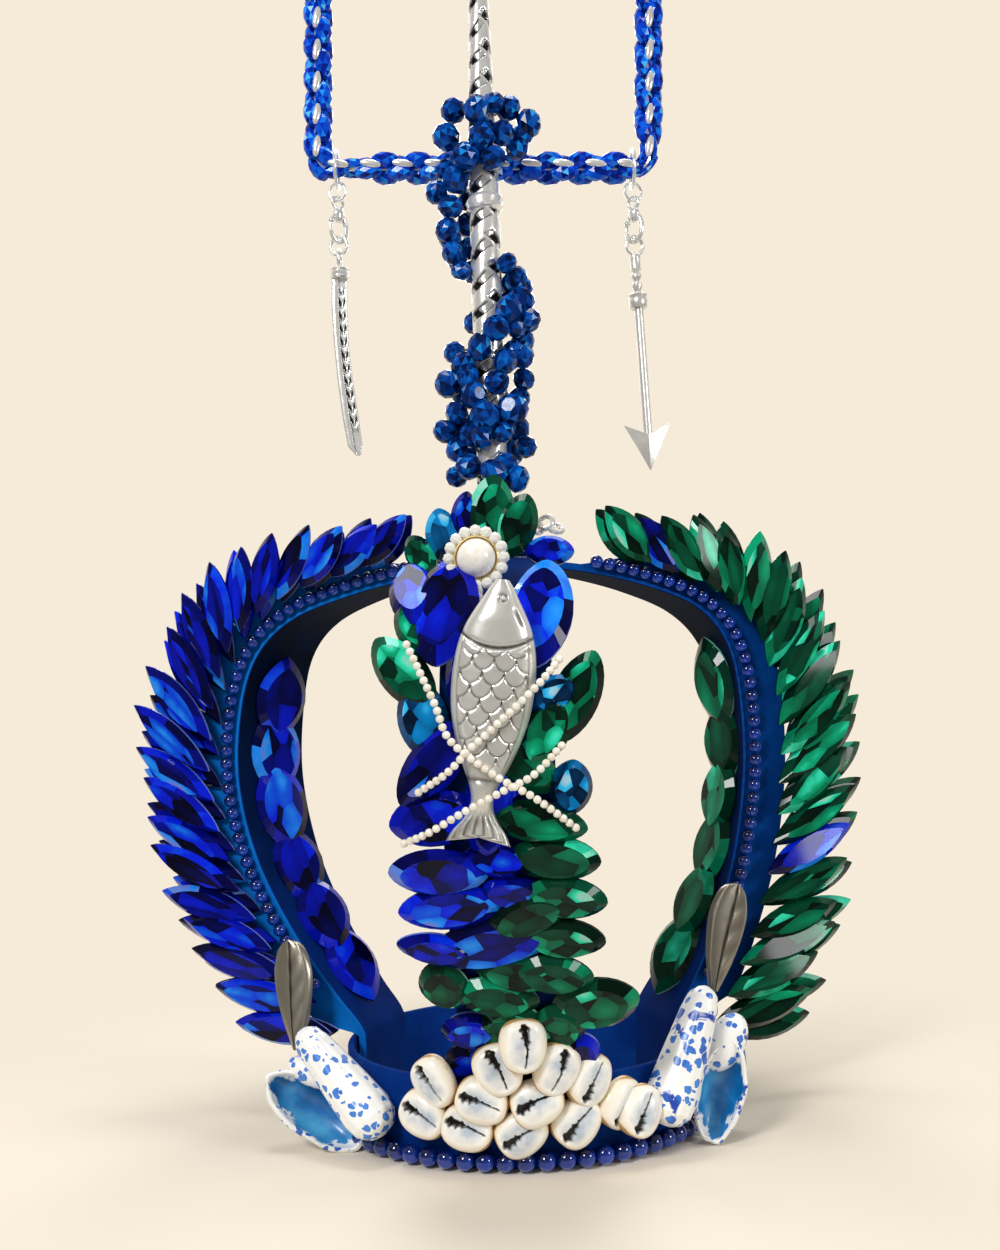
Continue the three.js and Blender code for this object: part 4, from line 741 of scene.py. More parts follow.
def alongFrames(centres, tangents, sideways, upright, radius):
    # bead frames whose z runs along the string
    z, count = unitVector(tangents), len(centres)
    x = unitVector(np.cross(np.where(np.abs(z[:, 2:]) < 0.9, up, across), z))
    return np.stack([x * perItem(sideways, count), np.cross(z, x) * perItem(upright, count),
                     z * perItem(radius, count), centres], -1)


def strung(line, pitch, start=0.0):
    # places and directions of beads at even distances, start away from both ends
    run = runOf(line)
    count = int((run[-1] - 2 * start) / pitch + 0.5) + 1
    at = np.linspace(start, run[-1] - start, count)
    return readAt(at, run, line), readAt(at, run, unitVector(np.gradient(line, axis=0)))


smoothBall, cutBall = ball(7, 12), ball(6, 8, True)


def addBeads(name, frames, material, replaced, seed, cut=False):
    # cut beads carry a tone for each facet, smooth ones a tone for each bead
    rng, count = np.random.default_rng(seed), len(frames)
    points, faces = cutBall if cut else smoothBall
    tone = rng.beta(1.5, 2.1, (count, len(faces))) if cut else np.repeat(rng.random((count, 1)), len(faces), 1)
    addPiece(name, copies(points, faces, frames), material, replaced, smooth=0 if cut else 180,
             values={"facet": tone.ravel()})


trimSettings = {"radius": 2.15, "pitch": 4.35, "out": 3.8, "top": 25.0, "seeds": {"left": 21, "right": 22}}
s = trimSettings
for side, arch in sideArches.items():
    t = np.linspace(arch.above(ringSettings["height"] + flangeSettings["width"]), arch.beyond(s["top"]), 500)
    line = arch.edge(t, np.full(len(t), s["out"]), np.full(len(t), s["radius"] + fit))
    frames = alongFrames(*strung(line, s["pitch"], s["radius"]), s["radius"], s["radius"], s["radius"] * 1.02)
    addBeads(f"{side}_trim", frames, darkBead, [f"{side}_bead_trim"], s["seeds"][side])

ringBeadSettings = {"radius": 2.85, "count": 64, "track": 59.65, "height": 3.15}
s = ringBeadSettings
a = around(s["count"])[:, None]
centre = s["track"] * (np.cos(a) * across + np.sin(a) * np.cross(up, across)) + up * s["height"]
addBeads("ring_row", alongFrames(centre, np.cross(up, centre), *[s["radius"]] * 3), darkBead, ["ring_beads"], 23)

rodSettings = {"x": -4.0, "radius": 4.8, "top": 2.9, "low": 183.8, "tall": 192.0, "pitch": 10.4, "sides": 72,
               "step": 0.4, "depth": 1.1, "under": 0.62, "collar": 115.4, "collarSides": 48, "collarSlant": 0.1,
               "collarLine": [(-1.6, -3.0), (0.5, -2.6), (1.3, -1.8), (0.75, -0.7), (1.4, 0.5), (0.9, 1.7),
                              (0.4, 2.4), (-1.6, 2.9)], "loop": (2.4, 1.7, 0.5)}


def wovenRod():
    # flat strips that wind both ways, over and under, with painted shade darkening the gaps between them and the
    # strips where they pass under
    s = rodSettings
    z = np.linspace(0, s["tall"], int(s["tall"] / s["step"]))[:, None]
    a = around(s["sides"])[None, :]
    body = s["radius"] + (s["top"] - s["radius"]) * smoothStep(z / s["tall"], 0.6, 1)
    wander = z + 1.1 * np.sin(z / 13) + 0.5 * np.sin(a * 2 + z / 7)
    # how far each place is from the middle of the two strips that wind one way: 0 there, 1 between them
    offA, offB = [np.abs((a / np.pi + 0.25 + sign * wander / s["pitch"]) % 1 - 0.5) * 2 for sign in (1, -1)]
    first, second = [1 - smoothStep(off, 0.6, 0.7) for off in (offA, offB)]
    top = np.cos(2 * a + 0.6) * 0.5 + 0.5 * np.cos(turnFull * wander / s["pitch"]) > 0
    high, offTop = np.where(top, first, second), np.where(top, offA, offB)
    height = np.maximum(high, np.where(top, second, first) * s["under"])
    radius = body + 0.15 + s["depth"] * (height - 1) + 0.1 * (1 - offTop ** 2) * high
    rings = np.stack([s["x"] + radius * np.cos(a), radius * np.sin(a), s["low"] + z + 0 * radius], -1)
    # painted shade: the recess rises where a strip lies low, in the gaps and under the crossing strips, and along the
    # edges of the top strip
    return closedTube(rings), capped(np.clip(1.05 - height * 1.4 + 0.7 * bell(offTop, 0.66, 0.05), 0, 1), 0, 0)


rodShape, rodGapShade = wovenRod()
addPiece("woven_rod", rodShape, silver, ["trident_rod"], smooth=50, values={"recess": rodGapShade})
s = rodSettings
collar = turned([(s["radius"] + r, z) for r, z in s["collarLine"]], s["collarSides"])
collar[..., 2] += collar[..., 0] * s["collarSlant"]
addPiece("rod_collar", closedTube(collar + np.array([s["x"], 0, s["low"] + s["collar"]])), silver, smooth=60)
below, big, wire = s["loop"]
addPiece("rod_loop", wireRing(np.array([s["x"], 0, s["low"] + s["tall"] - below]), big, wire, (0.3, 1, 0)), silver)

forkSettings = {"half": 55.6, "height": 315.0, "rise": 78.0, "corner": 5.0, "tilt": 1.6, "set": 8.85, "pitch": 10.9,
                "around": 2.55, "long": 4.95, "thick": 2.9, "core": 1.5, "slant": 0.14, "pinch": 0.4, "pinchWide": 6,
                "lanes": [(50, 0), (-50, 0.5), (130, 0.5), (-130, 0)], "link": (0.9, 1.35, 3.7), "linkSet": 3.9}


def inPlane(x, z, degrees):
    # (x, z) turned clockwise as seen from the front
    b = math.radians(degrees)
    return x * math.cos(b) + z * math.sin(b), -x * math.sin(b) + z * math.cos(b)


def forkPoint(x, z):
    # a place in the fork's tilted plane, from the middle of the crossbar
    x, z = inPlane(x, z, forkSettings["tilt"])
    return np.stack([x + rodSettings["x"], np.full_like(x, forkSettings["set"]), z + forkSettings["height"]], -1)


def forkLine():
    # the bent wire: down, round a corner, across, and up again
    s = forkSettings
    b = np.linspace(math.pi / 2, 0, 8)
    x = np.concatenate([[-s["half"]], -(s["half"] - s["corner"] * (1 - np.sin(b)))])
    z = np.concatenate([[s["rise"]], s["corner"] * (1 - np.cos(b))])
    return evenly(forkPoint(np.concatenate([x, -x[::-1]]), np.concatenate([z, z[::-1]])), 1.0)


fork = forkLine()
# the lanes are (degrees round the wire, share of a pitch further on); links are half sizes
jumpRings = [1000 * np.mean([corner[0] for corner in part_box(f"{side}_jump_ring")]) for side in sideArches]


def pinched(places):
    # beads on the crossbar shrink round a jump ring: 1 less the pinch times a bell of the distance along x
    s = forkSettings
    above = 3 * np.maximum(places[:, 2] - s["height"] - 6, 0)
    away = np.min([np.abs(places[:, 0] - x) + above for x in jumpRings], 0)
    return 1 - s["pinch"] * bell(away, 0, s["pinchWide"])


# four lanes of oval beads, neighbours half a pitch apart, with a line of flat silver ovals on both faces
s = forkSettings
frames, links = [], []
for angle, phase in s["lanes"]:
    places, towards = strung(fork, s["pitch"], s["long"] + phase * s["pitch"])
    a = math.radians(angle)
    outward = math.cos(a) * forward + math.sin(a) * np.cross(towards, forward)
    lean = unitVector(towards + s["slant"] * np.cross(outward, towards))
    slim = pinched(places)
    seat = places + outward * s["around"] * slim[:, None]
    frames.append(alongFrames(seat, lean, s["thick"] * slim, s["thick"] * slim, s["long"]))
for face in (1, -1):
    places, towards = strung(fork, s["pitch"], s["long"] + s["pitch"] * 0.25)
    lean = unitVector(towards + face * s["slant"] * np.cross(towards, forward))
    links.append(alongFrames(places + face * forward * s["linkSet"], lean, *s["link"]))
addBeads("fork_beads", np.concatenate(frames), ovalBead, ["trident_fork"], 32, True)
addPiece("fork_core", roundRod(fork, s["core"], 8), silver)
addPiece("fork_links", copies(*smoothBall, np.concatenate(links)), silver, smooth=60)

# the string's route as (degrees round the rod, height); its beads show behind the rod
strandSettings = {"radius": 3.9, "pitch": 7.0, "slack": 2.6, "track": 9.0, "behind": -1.5, "fuller": 1.1,
                  "route": [(195, 111), (170, 103), (100, 95), (10, 88), (-40, 81), (-90, 73), (-180, 68), (-270, 66),
                            (-360, 66), (-450, 62), (-540, 56), (-630, 53), (-720, 52), (-810, 48), (-900, 42),
                            (-990, 38), (-1080, 35), (-1170, 31), (-1260, 26)]}
# beads in view: x, y, height and radius
crossingBeads = [(-13.3, -2.3, 329.2, 3.9), (-5.7, -9.8, 325.9, 4.2), (0.1, -7.6, 328.9, 3.2),
                 (4.7, -2.8, 329.3, 3.9), (11.2, -2.4, 324.3, 4.3), (-15.8, -2.4, 320.6, 4.4),
                 (2.6, -6.3, 319.5, 3.9), (-4.2, -9.8, 317.2, 4.2), (-9.7, -8.5, 311.4, 4.5),
                 (-0.7, -8.3, 310.7, 3.9), (-12.1, -1.1, 312.6, 3.3), (-13.3, -3.4, 306.1, 4.3),
                 (-2.3, -4, 321.3, 3.6), (-3.8, -4.5, 313.9, 3.6), (-16.6, -1.5, 310.4, 3.3), (-0.8, -2, 331, 3.4),
                 (7.2, -2, 316.5, 3.7), (9.0, -1, 321.0, 3.6)]
woundBeads = [(-19.6, -1.5, 303, 3.6), (-15.2, -2.6, 297.7, 3.9), (-16.4, -2.3, 290.2, 3.9),
              (-14.9, -2.2, 282.7, 3.6), (-12.2, -2.1, 276.8, 3.3), (2.7, -5.6, 277.6, 3.3),
              (5.7, -0.8, 274.1, 3.9), (7.4, -2, 266.7, 4.3), (2.9, -7, 261.7, 4.5), (9.4, -3.3, 259.5, 3.9),
              (-1.4, -9.5, 255.3, 4.2), (7.3, 0.6, 253.7, 3.9), (4, -3.7, 249, 3.9), (-6.7, -8.9, 249.6, 4.2),
              (1.3, -8.9, 244.7, 3.9), (-12.3, -4.1, 245.1, 4.3), (-1.6, -8.7, 238.1, 3.9),
              (-17.8, -1.8, 239.8, 4.3), (-9.1, -7.8, 234.3, 4.2), (3.2, -7.3, 229.5, 5), (-15, -2.3, 230, 3.9),
              (-5.8, -9.9, 226.9, 4.8), (-19, -2.3, 224.1, 3.9), (-15.3, -2.3, 218.1, 3.9),
              (-11.6, -5.4, 211.7, 4.2), (-3.5, -9.3, 209, 4.2), (4.2, -4.5, 207.4, 4.2), (-9.5, 5.5, 303, 3.6),
              (-10, 6, 295, 3.8), (-10, 6, 287, 3.6), (-9, 6, 279, 3.6), (2.5, 6, 268, 3.9), (-8.5, 5.5, 262, 3.6),
              (-10, 5, 237, 3.9), (-2, 6, 240, 3.9), (-9.5, 6, 228, 3.8), (-10, 6, 220, 3.8), (-4, 6.5, 213, 3.9),
              (3, 6, 218, 3.9), (5.5, 5, 226, 3.8), (7.5, 3, 242, 3.6), (1, -3.6, 213, 3.6),
              (-10.5, -5.5, 240.5, 3.6), (-10.8, -5, 222, 3.8), (-7, -8, 220.5, 3.7), (0, -8, 222, 3.4),
              (5, -4.6, 257.2, 3.6), (7.2, -3.4, 247.5, 3.6)]
s = strandSettings
route = clampedSpline(s["route"], 40)
a = np.radians(route[:, 0])
x, y = (s["track"] + s["slack"]) * np.cos(a), s["track"] * np.sin(a)
centre, tangent = strung(np.stack([rodSettings["x"] + x, y, rodSettings["low"] + route[:, 1]], -1), s["pitch"])
behind = centre[:, 1] > s["behind"]
seen = np.array(crossingBeads + woundBeads) * [1, 1, 1, s["fuller"]]
turns = np.random.default_rng(35).normal(0, 1, (len(seen), 3)) + across
crossing, wound = [alongFrames(seen[part, :3], turns[part], seen[part, 3], seen[part, 3], seen[part, 3] * flat)
                   for part, flat in ((slice(len(crossingBeads)), 0.9), (slice(len(crossingBeads), None), 0.88))]
hidden = alongFrames(centre[behind], tangent[behind], s["radius"], s["radius"], s["radius"] * 0.86)
addBeads("wound_beads", np.concatenate([hidden, wound]), cutBead, ["bead_strand"], 33, True)
addBeads("crossing_beads", crossing, cutBead, ["bead_cluster"], 34, True)
print("trident done")

charmSettings = {"inset": {"left": 6.2, "right": 5.4}, "big": (6.0, 0.6), "bar": 4.7, "link": (3.0, 0.5),
                 "linkTurn": 20, "claspTurn": 40, "eye": (2.0, 0.55), "hook": (3.1, 4.6), "hookWire": 0.85,
                 "hookDrop": 9.3, "body": 2.0, "thick": 1.6, "long": 7.0, "loop": (3.0, 0.65), "lever": (-1.1, -4.9),
                 "leverWire": 0.6, "arrowLean": 2.6}


def turnedTo(shape, origin, degrees):
    # a shape made in its own plane, turned about the upright and set at its origin
    return turnAbout(shape[0], up, degrees) + origin, shape[1]


def hookAt(degrees):
    # places on the clasp's hook, part of an ellipse under its body
    s, a = charmSettings, np.radians(degrees)
    return np.stack([s["hook"][0] * np.cos(a), np.zeros_like(a), s["hook"][1] * np.sin(a) - s["hookDrop"]], -1)


def claspBody():
    # eye, swelling body and round hook of a lobster clasp
    s = charmSettings
    eyeHeight = s["link"][1] + s["eye"][1] + fit - s["eye"][0]
    down = np.linspace(0.34, 1.0, 18)[:, None]
    wide = np.interp(down, [0.34, 0.4, 0.5, 0.64, 0.86, 1.0], [0.35, 0.7, 0.92, 1.0, 0.85, 0.5])
    a = around(16)
    rings = np.stack([0.2 + s["body"] * wide * np.cos(a), s["thick"] * wide * np.sin(a),
                      -s["long"] * down + 0 * a], -1)
    size = s["hookWire"] * np.interp(np.linspace(0, 1, 28), [0, 0.2, 0.8, 1], [1.25, 1.0, 1.0, 0.8])
    return together(closedTube(rings), roundRod(hookAt(np.linspace(75, -165, 28)), size),
                    wireRing(up * eyeHeight, *s["eye"], (0, 1, 0)))


def claspLever():
    # the sprung lever, thickest at its thumb knob half way along
    s = charmSettings
    x, z = s["lever"]
    line = smoothLine(np.concatenate([[(x, 0, z)], hookAt(np.array([128.0, 150.0, 168.0, 186.0]))]), 0.3)
    return roundRod(line, s["leverWire"] * (1 + 0.9 * bell(np.linspace(0, 1, len(line)), 0.5, 0.1)))


# shares: how far down, how far swept to the side, and width
swordSettings = {"long": 61.0, "wide": 5.2, "thick": 1.9, "sweep": 3.6, "hilt": 3.3, "set": 3.6 * 0.6, "leaf": 4.4,
                 "shares": [(0, 0, 1), (0.18, -0.1, 1), (0.4, 0, 0.95), (0.6, 0.28, 1), (0.8, 0.68, 1.05),
                            (0.95, 1.02, 0.95), (1, 1.25, 0.3)],
                 "hiltLine": [(-0.5, 0), (0, -0.5), (-0.5, -1.0), (-0.2, -1.8), (-0.5, -2.6), (0, -3.1), (-0.5, -3.6)]}


def sword(top):
    # curved blade: a smooth ridge on one half, engraved leaves on the other
    s = swordSettings
    down = np.linspace(0, 1, 150)
    table = np.array(s["shares"], float)
    bend, wide = readAt(down, table[:, 0], table[:, 1:]).T
    u = np.concatenate([np.linspace(-0.5, 0.5, 31), np.linspace(0.5, -0.5, 12)[1:-1]])
    front = np.arange(len(u)) < 31
    ridge = 0.5 + 0.5 * np.sqrt(np.maximum(0, 1 - ((u + 0.27) / 0.235) ** 2))
    rise = np.where(u < -0.04, ridge, np.where(u < 0.4, 0.5, 0.62 + 0.2 * np.cos((u - 0.45) * 20)))
    within = (smoothStep(down, 0.07, 0.1) * (1 - smoothStep(down, 0.84, 0.88)))[:, None]
    v = (u - 0.18) / 0.22
    panel = within * np.clip((1 - np.abs(v)) * 6, 0, 1) * front
    leaf = np.cos(turnFull * (down[:, None] * s["long"] / s["leaf"] + np.abs(v) * 0.55)) + 0.35
    leaf = np.maximum(np.clip(leaf, 0, 1), bell(v, 0, 0.16)) * panel
    f = np.where(front, rise * 0.5, -0.3) * s["thick"] + 0.3 * leaf
    centre = np.stack([bend * s["sweep"], np.zeros(150), -down * s["long"] - s["set"]], -1)
    shrink = np.minimum(1, 2 * wide)[:, None]
    rings = centre[:, None] + np.stack([u * wide[:, None] * s["wide"], -f * shrink, np.zeros((150, len(u)))], -1)
    hilt = turned([(0.5, 0)] + [(s["hilt"] + r, z) for r, z in s["hiltLine"]] + [(0.5, -3.6)], 32)
    points, faces = together(closedTube(rings), closedTube(hilt))
    gap = bell(u, -0.04, 0.03) * front
    recess = capped(np.clip(panel * (1 - 1.4 * leaf) * 0.85 + 0.7 * gap, 0, 1), 0, 0)
    return (points + top, faces), np.concatenate([recess, np.zeros(len(points) - len(recess))])


# outline of the head as shares of its width and length; link and cap as radius shares and heights
arrowSettings = {"connector": 13.0, "radius": 1.7, "cap": (3.2, 5.6), "shaft": (1.5, 42.0), "head": (16.0, 8.0, 3.4),
                 "sides": 24, "flutes": 4,
                 "link": [(1, -0.05), (1.08, -0.1), (1, -0.16), (1, -0.38), (1.08, -0.42), (0.55, -0.47), (1, -0.55),
                          (1, -0.62), (0.5, -0.72), (1, -0.8), (1, -0.88), (0.6, -1)],
                 "capLine": [(0.6, -0.3), (1, -1.2), (0.9, -2.2), (1, -3.2), (0.92, -5.0), (0.8, -5.6)],
                 "edge": [(0, 0.8), (0.5, 0.28), (1, -0.2), (0.62, -0.08), (0.25, 0), (0, 0.03), (-0.25, 0),
                          (-0.62, -0.08), (-1, -0.2), (-0.5, 0.28)]}


def arrow(top):
    # bead, twisted link, cap, ridged shaft and barbed head
    s = arrowSettings
    (capR, capH), (shaftR, shaftLong), c = s["cap"], s["shaft"], s["connector"]
    capEnd = -c - capH
    shaftEnd = capEnd - shaftLong
    profile = [(0.5, 0)] + [(s["radius"] * r, c * z) for r, z in s["link"]]
    profile += [(capR * r, z - c) for r, z in s["capLine"]]
    profile += [(shaftR, capEnd), (shaftR, shaftEnd - 2.4), (0.5, shaftEnd - 2.5)]
    rings = turned(profile, s["sides"])
    z = rings[..., 2]
    grooved = (z < capEnd - 0.1) & (z > shaftEnd - 2)
    rings[..., :2] *= (1 + 0.12 * np.cos(s["flutes"] * around(s["sides"])) * grooved)[..., None]
    long, wide, thick = s["head"]
    points = [(u * wide, 0, shaftEnd - d * long) for u, d in s["edge"]]
    points += [(0, sign * thick / 2 * share, shaftEnd - d * long) for share, d in ((1, 0.05), (0.7, 0.5))
               for sign in (-1, 1)]
    count = len(s["edge"])  # the two hubs near the shaft follow it, then the two deeper ones
    faces = [[i, (i + 1) % count, count + face + (2 if i in (0, count - 1) else 0)]
             for i in range(count) for face in (0, 1)]
    faces += [[1, 10, 12], [1, 11, 13], [9, 12, 10], [9, 13, 11]]
    points, faces = together(closedTube(rings), (np.array(points, float), faces))
    return points + top + up * fit, faces


s = charmSettings
(big, bigWire), (link, linkWire), (loop, loopWire) = s["big"], s["link"], s["loop"]
for side, sign in (("left", 1), ("right", -1)):
    bar = forkPoint(np.float64(sign * (s["inset"][side] - forkSettings["half"])), 0.0)
    bigCentre = bar + up * (s["bar"] + fit + bigWire - big)
    linkCentre = bigCentre + up * (bigWire + linkWire + fit - link - big)
    linkBottom = linkCentre - up * link
    linkAxis = turnAbout(across, up, 90 - s["linkTurn"] * sign)
    turn = s["claspTurn"] * sign
    for name, shape, part, smooth in (
            ("ring_wire", wireRing(bigCentre, big, bigWire, across, 10, 48), "jump_ring", 180),
            ("link_wire", wireRing(linkCentre, link, linkWire, linkAxis, 10, 36), "link_ring", 180),
            ("clasp_shell", turnedTo(claspBody(), linkBottom, turn), "clasp", 60),
            ("lever_arm", turnedTo(claspLever(), linkBottom, turn), "clasp_lever", 60)):
        addPiece(f"{side}_{name}", shape, silver, [f"{side}_{part}"], f"{side}_{part}_body", smooth)
    hookBottom = linkBottom - up * (s["hookDrop"] + s["hook"][1])
    loopCentre = hookBottom + up * (s["hookWire"] + loopWire + fit - loop)
    ring = wireRing(loopCentre, loop, loopWire, linkAxis, 10, 36)
    top = loopCentre - up * loop
    if side == "left":
        step = up * (2 * loop - 2 * loopWire)
        shape, recess = sword(top - step)
        second = wireRing(loopCentre - step, loop, loopWire, across, 10, 36)
        recess = np.concatenate([recess, np.zeros(2 * len(ring[0]))])
        addPiece("sword_blade", together(shape, ring, second), silver, ["left_sword"], "left_sword_body", 40,
                 values={"recess": recess})
    else:
        points, faces = arrow(top)
        leant = top + turnAbout(points - top, forward, s["arrowLean"])
        addPiece("arrow_charm", together((leant, faces), ring), pewter, ["right_arrow"], "right_arrow_body", 30)
print("charms done")

# the front of the column's stones, measured outwards from the crown's axis
stonesFront = 86 + archWall + 0.3 + stoneSettings["step"] + stoneDepth
fishSettings = {"long": 68.0, "half": 10.8, "thick": 4.6, "tilt": 7.0, "height": archHeight * 0.732, "offset": -1.2,
                "rows": 220, "columns": 96, "scale": (5.6, 3.6), "eye": (0.7, 4.8), "mouth": (5.2, 9.8), "gill": 17.6,
                "outline": [(0, 0.16), (0.03, 0.3), (0.07, 0.44), (0.12, 0.62), (0.18, 0.8), (0.26, 0.94), (0.36, 1),
                            (0.46, 0.98), (0.54, 0.9), (0.62, 0.76), (0.7, 0.57), (0.76, 0.4), (0.81, 0.29),
                            (0.86, 0.28), (0.91, 0.42), (0.955, 0.64), (1, 0.78)]}


def onFront(x, z, r):
    # a place r out from the axis on the column's side, x to the right and z up
    return (frontArch.out * np.asarray(r)[..., None] + frontArch.rear * np.asarray(x)[..., None]
            + up * np.asarray(z)[..., None])


def scales(x, y):
    # round-ended scales in staggered rows, each row over the one below: their height and their outlines
    wide, tall = fishSettings["scale"]
    best, line = np.full(x.shape, -1.0), np.zeros(x.shape)
    for shift in (1, 0):
        row = np.floor(y / tall) - shift
        aside = x / wide + 0.5 * (row % 2)
        aside = (aside - np.round(aside)) * wide
        below = y - (row + 0.5) * tall
        r = np.hypot(aside / (wide * 0.5), below / (tall * 1.02))
        free = best < 0
        line = np.maximum(line, bell(r, 1.0, 0.075) * free)
        best = np.where((r < 1.0) & free, 1 - 0.55 * below / (tall * 1.5), best)
    return np.clip(best, 0, 1), line


def fish():
    # a carp seen from its side: nose up, eye and gill, rows of scales, ribbed fan tail;
    # each mark is added to the relief in mm and to the recess, which darkens the pewter
    s = fishSettings
    down = np.linspace(0, 1, s["rows"])
    d = down[:, None]
    front = np.linspace(-1, 1, s["columns"])
    u = np.concatenate([front, front[::-1][1:-1]])[None, :]
    isFront = np.arange(u.shape[1]) < s["columns"]
    x, y = u * outlineAt(s["outline"], d, 0.004) * s["half"], d * s["long"]
    tail = smoothStep(d, 0.78, 0.9)
    dome = np.sqrt(np.maximum(0, 1 - np.abs(u) ** 2.4))
    high = s["thick"] * (1 - 0.5 * tail) * dome * (0.55 + 0.45 * smoothStep(d, 0, 0.16))
    raised, line = scales(x, y)
    body = smoothStep(d, 0.26, 0.28) * (1 - smoothStep(d, 0.69, 0.71)) * (1 - smoothStep(np.abs(u), 0.8, 0.85))
    rim = bell(np.abs(u), 0.84, 0.02) * smoothStep(d, 0.2, 0.26) * (1 - smoothStep(d, 0.72, 0.78))
    gill = y - (s["gill"] - 3.4 * (u * 1.02) ** 2)
    eye = np.hypot(x - s["eye"][0], y - s["eye"][1])
    slit = bell((x - s["mouth"][0]) - (y - s["mouth"][1]) * 0.55, 0, 0.42) * np.exp(-(((y - 9.6) / 2.0) ** 4))
    waist = bell(d, 0.755, 0.012)
    ribs, fan = np.cos(u * np.pi * 6.5), smoothStep(d, 0.86, 0.93)
    relief = (body * (0.4 * raised - 0.3 * line) - 0.3 * rim - 0.9 * bell(gill, 0, 0.55) + 0.45 * bell(gill, 1.6, 0.9)
              - 0.5 * bell(eye, 0.9, 0.35) + 0.25 * bell(eye, 0, 0.5) - 0.6 * slit - 0.35 * waist + 0.38 * fan * ribs)
    recess = (0.6 * body * line + 0.35 * rim + 0.8 * bell(gill, 0, 0.4) + 0.6 * bell(eye, 0.9, 0.3) + 0.7 * slit
              + 0.5 * waist + 0.5 * fan * np.clip(-ribs - 0.1, 0, 1))
    f = np.where(isFront, high + relief * dome ** 0.5, -high * 0.06)
    z = s["long"] * (0.5 - d) + tail * 2.6 * (1 - u ** 2) * smoothStep(d, 0.86, 1.0)
    points, faces = closedTube(np.stack([x, -f, z], -1))
    x, z = inPlane(points[:, 0], points[:, 2], s["tilt"])
    placed = onFront(x + s["offset"], z + s["height"], stonesFront + fit - points[:, 1])
    return (placed, faces), capped(np.clip(recess * isFront, 0, 1), 0, 0)


shape, recess = fish()
addPiece("fish_cast", shape, pewter, ["pewter_fish"], smooth=60, values={"recess": recess})

pearlSettings = {"radius": 5.3, "rise": 4.6, "plate": 1.2, "bezel": 7.4, "bead": 1.72, "beads": 16,
                 "height": archHeight * 0.968, "offset": -4.9, "drop": 3.6, "dropBeads": [1.4, 3.0, 4.4], "sides": 40,
                 "rim": (0.75, 0.55, 1.5, 0.75), "rimSides": (8, 48)}
s = pearlSettings
pearlSet = frontArch.line[np.argmax(frontArch.line[:, 1] > s["height"] - s["bezel"] - s["drop"]), 0] + archWall + fit


def facingFront(rings, seat):
    # a shape turned about its own axis (z forwards) set on the column's front
    s = pearlSettings
    return onFront(s["offset"] + rings[..., 0], s["height"] + rings[..., 1], seat + rings[..., 2])


b = np.linspace(0.02, np.pi / 2, 14)[:-1]
radius, bezel, plate = s["radius"], s["bezel"], s["plate"]
domeLine = np.stack([radius * np.cos(b), s["rise"] * np.sin(b)], -1).tolist()
dome = turned([(0.2, 0)] + domeLine + [(0.15, s["rise"])], s["sides"])
addPiece("pearl_dome", closedTube(facingFront(dome, pearlSet + plate + fit)), pearl, ["pearl_cabochon"], smooth=60)
dish = turned([(0.3, 0), (bezel + 0.3, 0), (bezel + 0.3, 0.8), (radius + 0.9, plate), (0.3, plate)], s["sides"])
out, wide, rise, tall = s["rim"]
b = around(s["rimSides"][0])
rim = facingFront(turned(np.stack([radius + out + wide * np.cos(b), rise + tall * np.sin(b)], -1), s["rimSides"][1]),
                  pearlSet)
addPiece("pearl_setting", together(closedTube(facingFront(dish, pearlSet)),
                                   (rim.reshape(-1, 3), gridFaces(*s["rimSides"], True).tolist())), gold, smooth=50)
a, bead, drops = around(s["beads"]), s["bead"], s["dropBeads"]
centre = np.concatenate([
    onFront(s["offset"] + bezel * np.cos(a), s["height"] + bezel * np.sin(a), pearlSet + (plate + bead) / 2 + 0 * a),
    onFront(np.full(len(drops), s["offset"]), s["height"] - bezel - np.array(drops), pearlSet + 1.6 + np.zeros(3))])
addBeads("crystal_beads", alongFrames(centre, np.tile(frontArch.out, (len(centre), 1)), bead, bead, bead),
         crystal, ["pearl_bezel"], 41, True)

# each strand's route over stones (0) and fish (1): to the right, up from the fish's middle, and which
seedSettings = {"radius": 1.08, "pitch": 2.2, "right": 2.8, "seat": 1.25,
                "routes": [[(-25, 18, 0), (-18, 3, 0.9), (-14, -7, 1), (-3, -16, 1), (7, -22, 1), (17, -30, 0)],
                           [(14, 13, 0), (8, 6, 0.9), (-3, -4, 1), (-9, -9, 1), (-15, -15, 0.9), (-23, -20, 0)],
                           [(14, -9, 0), (7, -16, 0.9), (-1, -20, 1), (-11, -25, 1), (-20, -30, 0.9), (-27, -33, 0)]]}
s = seedSettings
overStones = stonesFront + fit + s["seat"]
frames = []
for route in s["routes"]:
    x, z, over = np.array(route, float).T
    line = smoothLine(onFront(x + s["right"], z + fishSettings["height"],
                              overStones + (fit + fishSettings["thick"]) * over), 0.4)
    frames.append(alongFrames(*strung(line, s["pitch"]), *[s["radius"]] * 3))
addBeads("seed_row", np.concatenate(frames), seedPearl, ["pearl_strands"], 42)
print("front done")

